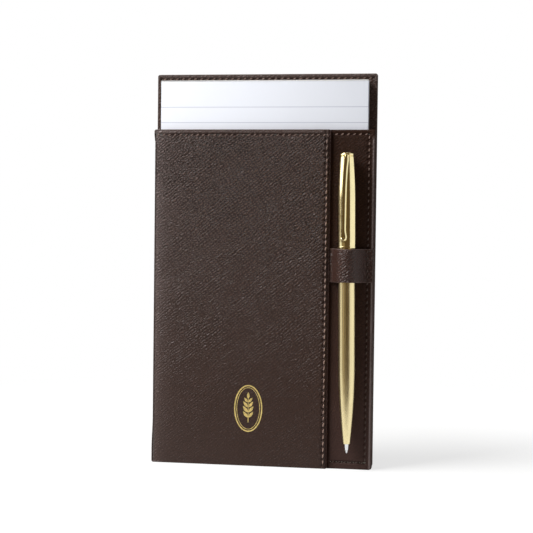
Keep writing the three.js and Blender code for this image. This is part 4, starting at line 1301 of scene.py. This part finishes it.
class NOTEHOLDER_OT_pen_upper(bpy.types.Operator):
    """Add the pen's upper barrel and end cap"""

    bl_idname = "note_holder.pen_upper"
    bl_label = "Pen Upper Barrel"

    def execute(self, context):
        plating = material(polished_plating)
        bore = UPPER_RADIUS - UPPER_WALL
        head = power_taper(HEAD_RADIUS, UPPER_RADIUS, HEAD_TAPER, HEAD_POWER, 28)
        band = RIM + RIM_BAND
        profile = [
            (bore, RIM),
            (UPPER_RADIUS - CHAMFER, RIM),
            *arc((UPPER_RADIUS - CHAMFER, RIM + CHAMFER), CHAMFER, -60, 0, 3),
            (UPPER_RADIUS, band - 0.05),
            (UPPER_RADIUS - 0.05, band + RIM_GROOVE / 2),
            (UPPER_RADIUS, band + RIM_GROOVE + 0.05),
            *[(UPPER_RADIUS, RIM + z) for z in (3, 8, 14, 19)],
            *[(radius, HEAD_END - down) for radius, down in reversed(head) if down > 0.2],
            (HEAD_RADIUS, HEAD_END - 0.18),
            (HEAD_RADIUS - 0.2, HEAD_END),
            (HEAD_RADIUS - UPPER_WALL, HEAD_END),
            (HEAD_RADIUS - UPPER_WALL, HEAD_END - 11),
            (bore, HEAD_END - 12),
        ]
        barrel = lean(turned(profile))
        finish_piece(barrel, "upper_barrel", PEN_UPPER, plating, ["pen_upper_barrel"], sharp=28)

        low = HEAD_END + GLUE_LINE
        top = HEAD_END + CAP_HEIGHT
        dome = arc((HEAD_RADIUS - CAP_DOME, top - CAP_DOME), CAP_DOME, 0, 90, 8)
        slot_high = low + CLIP_THICKNESS + 0.55
        dome_at_slot = CAP_DOME * math.cos(math.asin((slot_high - top + CAP_DOME) / CAP_DOME))
        profile = [
            (0, low - CAP_PLUG),
            (PLUG_RADIUS, low - CAP_PLUG),
            (PLUG_RADIUS, low),
            (HEAD_RADIUS - 0.2, low),
            (HEAD_RADIUS - 0.02, low + 0.16),
            *[p for p in dome if p[1] < slot_high - 0.02],
            (HEAD_RADIUS - CAP_DOME + dome_at_slot, slot_high),
            *[p for p in dome if p[1] > slot_high + 0.02],
            (HEAD_RADIUS - CAP_DOME - 0.9, top + 0.12),
            (0, top + 0.2),
        ]
        cap = turned(profile, steps=120)
        self.cut_slot(cap, low, slot_high)
        finish_piece(lean(cap), "end_cap", PEN_UPPER, plating, ["pen_end_cap"], sharp=28)
        dress("pen_cam_sleeve", turned_brass())
        return {"FINISHED"}

    @staticmethod
    def cut_slot(cap, low, high):
        """Sinks the clip's slot into the cap's front."""
        half = math.asin((CLIP_TAB / 2 + 0.2) / HEAD_RADIUS)
        front = -math.pi / 2 + CLIP_TURN
        chosen = []
        for face in cap.faces:
            place = face.calc_center_median()
            away = (math.atan2(place.y, place.x) - front + math.pi) % FULL_TURN - math.pi
            if abs(away) < half and low + 0.03 < place.z < high and place.xy.length > HEAD_RADIUS - 0.75:
                chosen.append(face)
        made = bmesh.ops.extrude_face_region(cap, geom=chosen)
        bmesh.ops.delete(cap, geom=chosen, context="FACES_ONLY")
        inward = Vector((-math.cos(front), -math.sin(front), 0)) * 1.2
        bmesh.ops.translate(cap, vec=inward, verts=new_verts(made))


def spline(points, steps):
    """A smooth line through points, with each stretch cut in as many steps."""
    line = []
    for i in range(len(points) - 1):
        a, b, c, d = points[max(i - 1, 0)], points[i], points[i + 1], points[min(i + 2, len(points) - 1)]
        for k in range(steps):
            t = k / steps
            v0, v1 = (c - a) / 2, (d - b) / 2
            line.append((2 * b - 2 * c + v0 + v1) * t**3 + (-3 * b + 3 * c - 2 * v0 - v1) * t**2 + v0 * t + b)
    return [*line, points[-1]]


class NOTEHOLDER_OT_clip(bpy.types.Operator):
    """Add the pen's clip: a narrow strip with rounded rims that ends in a turned-up tongue"""

    bl_idname = "note_holder.clip"
    bl_label = "Clip"

    def execute(self, context):
        tab_z = HEAD_END + GLUE_LINE + 0.2 + CLIP_THICKNESS / 2
        shoulder_z = tab_z - CLIP_SHOULDER_DROP
        end_z = RIM + CLIP_END
        tongue_radius = CLIP_TONGUE / 2
        tongue_z = end_z + tongue_radius
        neck_z = end_z + CLIP_TONGUE_LENGTH
        near = UPPER_RADIUS + SEAT_GAP + CLIP_THICKNESS / 2
        far = near + CLIP_STAND_OFF - SEAT_GAP
        points = [
            (HEAD_RADIUS - CLIP_TAB_REACH, tab_z),
            (HEAD_RADIUS + CLIP_THICKNESS / 2, tab_z),
            ((HEAD_RADIUS + near) / 2 + CLIP_THICKNESS / 2, tab_z - CLIP_THICKNESS),
            (near, shoulder_z),
            (far, (2 * shoulder_z + neck_z) / 3),
            (far, (shoulder_z + 2 * neck_z) / 3),
            (near, tongue_z + tongue_radius / 2),
            (near + CLIP_TIP_LIFT * CLIP_BEND_SHARE, tongue_z - tongue_radius * CLIP_BEND_SHARE),
            (near + CLIP_TIP_LIFT, end_z),
        ]
        line = spline([Vector(p) for p in points], 12)
        sections = []
        for point, along in headings(line):
            out = Vector((-along.y, along.x))
            width = self.width_at(point.y, tab_z, shoulder_z, neck_z, tongue_z, tongue_radius)
            drift = -CLIP_DRIFT * (1 - math.exp(-(tab_z - point.y) / CLIP_DRIFT_LENGTH))
            down = min(1.0, max(0.0, (tongue_z - point.y) / tongue_radius))
            full = math.sqrt(max(0.0, 1 - down**5))
            ring = [(across + drift, o * full if o > 0 else o) for across, o in self.section(width)]
            sections.append([Vector((x, -(point.x + out.x * o), point.y + out.y * o)) for x, o in ring])
        bm = skin(sections)
        bmesh.ops.transform(bm, matrix=Matrix.Rotation(CLIP_TURN, 4, "Z"), verts=bm.verts)
        plating = material(polished_plating)
        finish_piece(lean(bm), "clip_strip", PEN_UPPER, plating, ["pen_clip"], sharp=60)
        return {"FINISHED"}

    @staticmethod
    def width_at(z, tab_z, shoulder_z, neck_z, tongue_z, tongue_radius):
        if z > (tab_z + shoulder_z) / 2:
            return CLIP_TAB
        if z > shoulder_z:
            t = (z - shoulder_z) / ((tab_z - shoulder_z) / 2)
            return CLIP_SHOULDER + (CLIP_TAB - CLIP_SHOULDER) * t * t
        if z > neck_z:
            return CLIP_NECK + (CLIP_SHOULDER - CLIP_NECK) * (z - neck_z) / (shoulder_z - neck_z)
        if z > tongue_z:
            t = (neck_z - z) / (neck_z - tongue_z)
            return CLIP_NECK + (CLIP_TONGUE - CLIP_NECK) * t * t * (3 - 2 * t)
        down = min(1.0, (tongue_z - z) / tongue_radius)
        return max(0.3, CLIP_TONGUE * math.sqrt(max(0.0, 1 - down * down)))

    @staticmethod
    def section(width):
        """A strip's section: flat in front, rounded at its left rim and bevelled at its right, as (across, out)."""
        half, thick = width / 2, CLIP_THICKNESS / 2
        rim, bevel = min(0.16, half * 0.4), min(0.62, half)
        ring = [(-half + rim - rim * math.sin(a), thick - rim + rim * math.cos(a)) for a in (1.57, 1.05, 0.52, 0.0)]
        ring += [(half - bevel - 0.05, thick), (half - bevel + 0.06, thick - 0.03)]
        ring += [(half - bevel * (1 - k / 4), thick - 0.03 - 0.4 * k / 4 * (0.8 + 0.2 * k / 4)) for k in (1, 2, 3)]
        ring += [(half - 0.03, -thick + 0.15), (half, -thick + 0.08), (half - 0.05, -thick), (-half + 0.08, -thick)]
        return [*ring, (-half, -thick + 0.08)]


class NOTEHOLDER_OT_pen_lower(bpy.types.Operator):
    """Add the pen's lower barrel"""

    bl_idname = "note_holder.pen_lower"
    bl_label = "Pen Lower Barrel"

    def execute(self, context):
        top = RIM - SEAT_GAP
        bore = LOWER_RADIUS - LOWER_WALL
        refill_bore, point_bore, step_top, step_foot = 1.85, 1.3, 13.7, 10.7
        nose_top = NOSE_START + NOSE_LENGTH
        nose = power_taper(NOSE_RADIUS, LOWER_RADIUS, NOSE_LENGTH, NOSE_POWER, 48)
        profile = [
            (point_bore, NOSE_START),
            (NOSE_RADIUS - CHAMFER, NOSE_START),
            *arc((NOSE_RADIUS - CHAMFER, NOSE_START + CHAMFER), CHAMFER, -60, 0, 2),
            *[(radius, NOSE_START + up) for radius, up in nose if up > 0.2],
            *[(LOWER_RADIUS, z) for z in (52, 66, 80, top - 0.2)],
            (LOWER_RADIUS - 0.2, top),
            (bore, top),
            (bore, nose_top + bore - refill_bore),
            (refill_bore, nose_top),
            (refill_bore, step_top),
            (point_bore, step_foot),
        ]
        barrel = lean(turned(profile))
        finish_piece(barrel, "lower_barrel", PEN_LOWER, material(satin_plating), ["pen_lower_barrel"])
        dress("pen_slotted_sleeve", turned_brass())
        return {"FINISHED"}


class NOTEHOLDER_OT_refill(bpy.types.Operator):
    """Add the refill's point with its ball, and finish its tube and carrier"""

    bl_idname = "note_holder.refill"
    bl_label = "Refill"

    def execute(self, context):
        s = settings().pen
        steel = material(turned_metal, "turned_steel", tuple(s.steel), 0.16)
        ball = arc((0, 0.4), 0.4, -90, 20, 7)
        cone = [(0.5, 0.62), (0.52, 1.3), (0.78, 1.45), (1.03, 3.9), (1.05, 4.3)]
        shank = [(1.05, 13.85), (0.85, 13.9), (0.85, 18), (0, 18)]
        point = turned([*ball, *cone, *shank], steps=48)
        finish_piece(lean(point), "refill_point_turned", REFILL, steel, ["refill_point"], sharp=30)
        dress("refill_carrier", steel)
        dress("refill_tube", material(turned_metal, "drawn_tube", (0.7, 0.58, 0.32), 0.3))
        return {"FINISHED"}


# ---------------------------------------------------------------- the stage

CAMERA_PLACE = (0.09901, -0.60511, 0.11126)
CAMERA_YAW, CAMERA_PITCH, CAMERA_ROLL = (math.radians(a) for a in (9.128, 1.675, 0.692))
KEY_PLACE, AIM = (-0.8, -0.5, 1.15), Vector((0, 0, 0.09))
SCREEN_Y = -0.105
DARK_TONE = (0.1, 0.068, 0.037)
WARM_TONE = (0.28, 0.22, 0.135)
DIM_TONE = (0.14, 0.105, 0.07)
LEFT, MIDDLE, RIGHT = 0.004, 0.0169, 0.135
TOP_EDGE = ((LEFT, 0.1485), (-0.0259, 0.1453), (-0.048, 0.1398), (-0.16, 0.1366), (-0.5, 0.146))
SCREENS = (  # dark screens just in front of the object, as outlines in X and Z
    ("dark_screen", DARK_TONE, ((MIDDLE, 0), (RIGHT, 0), (RIGHT, 0.5), (MIDDLE, 0.5))),
    ("dark_screen_foot", DARK_TONE, ((LEFT, 0), (MIDDLE, 0), (MIDDLE, 0.15), (LEFT, 0.1485))),
    ("warm_screen", WARM_TONE, ((-0.16, 0), (LEFT, 0), (LEFT, 0.095), (-0.16, 0.095))),
    ("dim_screen", DIM_TONE, ((-0.5, 0.095), (LEFT, 0.095), *TOP_EDGE)),
)
WINDOW_EDGE = ((-118, 7.5), (-108, 4.5), (-95, 2.2), (-80, 1.6), (-71, 2.2), (-58, 5.5), (-49, 9.5), (-43, 13))
WINDOW_TOP, WINDOW_DISTANCE = 20, 0.5
ROOM_TONE = (0.42, 0.34, 0.23)
CORNER_TONE = (0.1, 0.08, 0.06)
WHITE = (1, 1, 1)
GLOW_NEAR, GLOW_FAR = 0.1, 0.35  # where the floor begins to turn to plain white, and where it has


def card(name, faces, tone):
    """A studio card that only reflections see."""
    bm = bmesh.new()
    for corners in faces:
        bm.faces.new([bm.verts.new(corner) for corner in corners])
    mesh = mesh_of(bm, name)
    made = bpy.data.materials.new(name)
    made.use_nodes = True
    made.node_tree.nodes.clear()
    nodes = Nodes(made.node_tree)
    nodes.node("OutputMaterial", {"Surface": nodes.node("Emission", {"Color": tone}).outputs[0]})
    mesh.materials.append(made)
    thing = linked(name, mesh)
    for ray in ("camera", "diffuse", "transmission", "volume_scatter", "shadow"):
        setattr(thing, "visible_" + ray, False)


class NOTEHOLDER_OT_stage(bpy.types.Operator):
    """Add the floor, the light and the camera"""

    bl_idname = "note_holder.stage"
    bl_label = "Stage"

    def execute(self, context):
        scene = context.scene
        s = settings().stage
        self.camera(scene, s)
        self.world(scene, s)
        self.floor(s)
        self.lamp(s)
        for name, tone, outline in SCREENS:
            card(name, [[(x, SCREEN_Y, z) for x, z in outline]], tone)
        self.window()
        scene.view_settings.view_transform = "Standard"
        return {"FINISHED"}

    @staticmethod
    def window():
        """A bright low strip that the polished head of the pen mirrors."""
        from_pen = Vector((0.0406, -0.0095, 0.13))

        def seen(azimuth, elevation):
            a, e = math.radians(azimuth), math.radians(elevation)
            return from_pen + WINDOW_DISTANCE * Vector((math.sin(a), -math.cos(a), math.tan(e)))

        pairs = zip(WINDOW_EDGE, WINDOW_EDGE[1:])
        faces = [[seen(*a), seen(*b), seen(b[0], WINDOW_TOP), seen(a[0], WINDOW_TOP)] for a, b in pairs]
        card("window_strip", faces, (2.4, 2.4, 2.4))

    @staticmethod
    def camera(scene, s):
        data = bpy.data.cameras.new("camera")
        data.lens = s.camera_focal
        data.sensor_width = 36
        data.clip_start, data.clip_end = 0.01, 20
        thing = linked("camera", data)
        turn = Matrix.Rotation(CAMERA_YAW, 3, "Z") @ Matrix.Rotation(math.pi / 2 - CAMERA_PITCH, 3, "X")
        turn = turn @ Matrix.Rotation(CAMERA_ROLL, 3, "Z")
        thing.matrix_world = Matrix.Translation(CAMERA_PLACE) @ turn.to_4x4()
        scene.camera = thing

    @staticmethod
    def world(scene, s):
        world = bpy.data.worlds.new("studio")
        world.use_nodes = True
        scene.world = world
        nodes = Nodes(world.node_tree)
        rays = nodes.node("LightPath").outputs
        direction = nodes.node("TexCoord").outputs["Generated"]
        x, y = nodes.axis(direction, "X"), nodes.axis(direction, "Y")
        right = nodes.spread(x, 0.5, 0.85, smooth=True)
        to_the_right = nodes.spread(x, -0.1, 0.1, smooth=True)
        behind = nodes.times(nodes.spread(y, 0.2, 0.75, smooth=True), to_the_right)
        mirrored = nodes.math("MAXIMUM", rays["Is Glossy Ray"], rays["Is Transmission Ray"])
        lit = nodes.spread(rays["Is Camera Ray"], 0.0, 1.0, s.fill, 1.0, smooth=True)
        room = nodes.mix(right, nodes.mix(behind, ROOM_TONE, CORNER_TONE), WHITE)
        nodes.join(nodes.mix(mirrored, lit, room), nodes.tree.nodes["Background"].inputs["Color"])

    @staticmethod
    def floor(s):
        bm = bmesh.new()
        bmesh.ops.create_grid(bm, x_segments=8, y_segments=8, size=6)
        mesh = mesh_of(bm, "floor")
        finish = Finish("pale_floor", specular_ior_level=0.1, roughness=0.9)
        tone = finish.noise(finish.cells(300), 2.0)
        finish.set("Base Color", finish.mix(tone, s.floor, shaded(s.floor, 0.995)))
        source = finish.node("TexCoord").outputs["Object"]
        distance = finish.node("VectorMath", {0: source}, operation="LENGTH").outputs["Value"]
        far = finish.spread(distance, GLOW_NEAR, GLOW_FAR, 0.5, 1.0, smooth=True)
        strength = finish.spread(distance, GLOW_NEAR, GLOW_FAR, 1.4, 1.0, smooth=True)
        glow = finish.node("Emission", {"Color": WHITE, "Strength": strength})
        rays = finish.node("LightPath").outputs
        seen = finish.math("MAXIMUM", rays["Is Camera Ray"], rays["Is Glossy Ray"])
        parts = {0: finish.times(far, seen), 1: finish.shader.outputs[0], 2: glow.outputs[0]}
        blend = finish.node("MixShader", parts)
        finish.join(blend.outputs[0], finish.tree.nodes["Material Output"].inputs["Surface"])
        mesh.materials.append(finish.material)
        linked("floor", mesh)

    @staticmethod
    def lamp(s):
        data = bpy.data.lights.new("key", "AREA")
        data.shape = "DISK"
        data.size = s.key_size
        data.energy = s.key
        thing = linked("key", data)
        thing.location = KEY_PLACE
        thing.rotation_euler = (AIM - Vector(KEY_PLACE)).to_track_quat("-Z", "Y").to_euler()


# ---------------------------------------------------------------- add-on

OPERATORS = (
    NOTEHOLDER_OT_stage,
    NOTEHOLDER_OT_back_board,
    NOTEHOLDER_OT_pocket,
    NOTEHOLDER_OT_main_panel,
    NOTEHOLDER_OT_pen_loop,
    NOTEHOLDER_OT_ornament,
    NOTEHOLDER_OT_note_pad,
    NOTEHOLDER_OT_pen_upper,
    NOTEHOLDER_OT_clip,
    NOTEHOLDER_OT_pen_lower,
    NOTEHOLDER_OT_refill,
)


class NOTEHOLDER_PT_panel(bpy.types.Panel):
    """The note holder's pieces and settings"""

    bl_label = "Note Holder"
    bl_idname = "NOTEHOLDER_PT_panel"
    bl_space_type = "VIEW_3D"
    bl_region_type = "UI"
    bl_category = "Note Holder"

    def draw(self, context):
        for operator in OPERATORS:
            self.layout.operator(operator.bl_idname)
        groups = context.scene.note_holder
        for group in ("leather", "pad", "pen", "ornament", "stage"):
            box = self.layout.box()
            box.label(text=group.title())
            values = getattr(groups, group)
            for name in values.__annotations__:
                box.prop(values, name)


CLASSES = (
    LeatherSettings,
    PadSettings,
    PenSettings,
    OrnamentSettings,
    StageSettings,
    NoteHolderSettings,
    *OPERATORS,
    NOTEHOLDER_PT_panel,
)


def register():
    for one in CLASSES:
        bpy.utils.register_class(one)
    bpy.types.Scene.note_holder = bpy.props.PointerProperty(type=NoteHolderSettings)


def unregister():
    del bpy.types.Scene.note_holder
    for one in reversed(CLASSES):
        bpy.utils.unregister_class(one)


def main():
    register()
    for operator in OPERATORS:
        group, name = operator.bl_idname.split(".")
        getattr(getattr(bpy.ops, group), name)()
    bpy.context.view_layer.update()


if __name__ == "__main__":
    main()
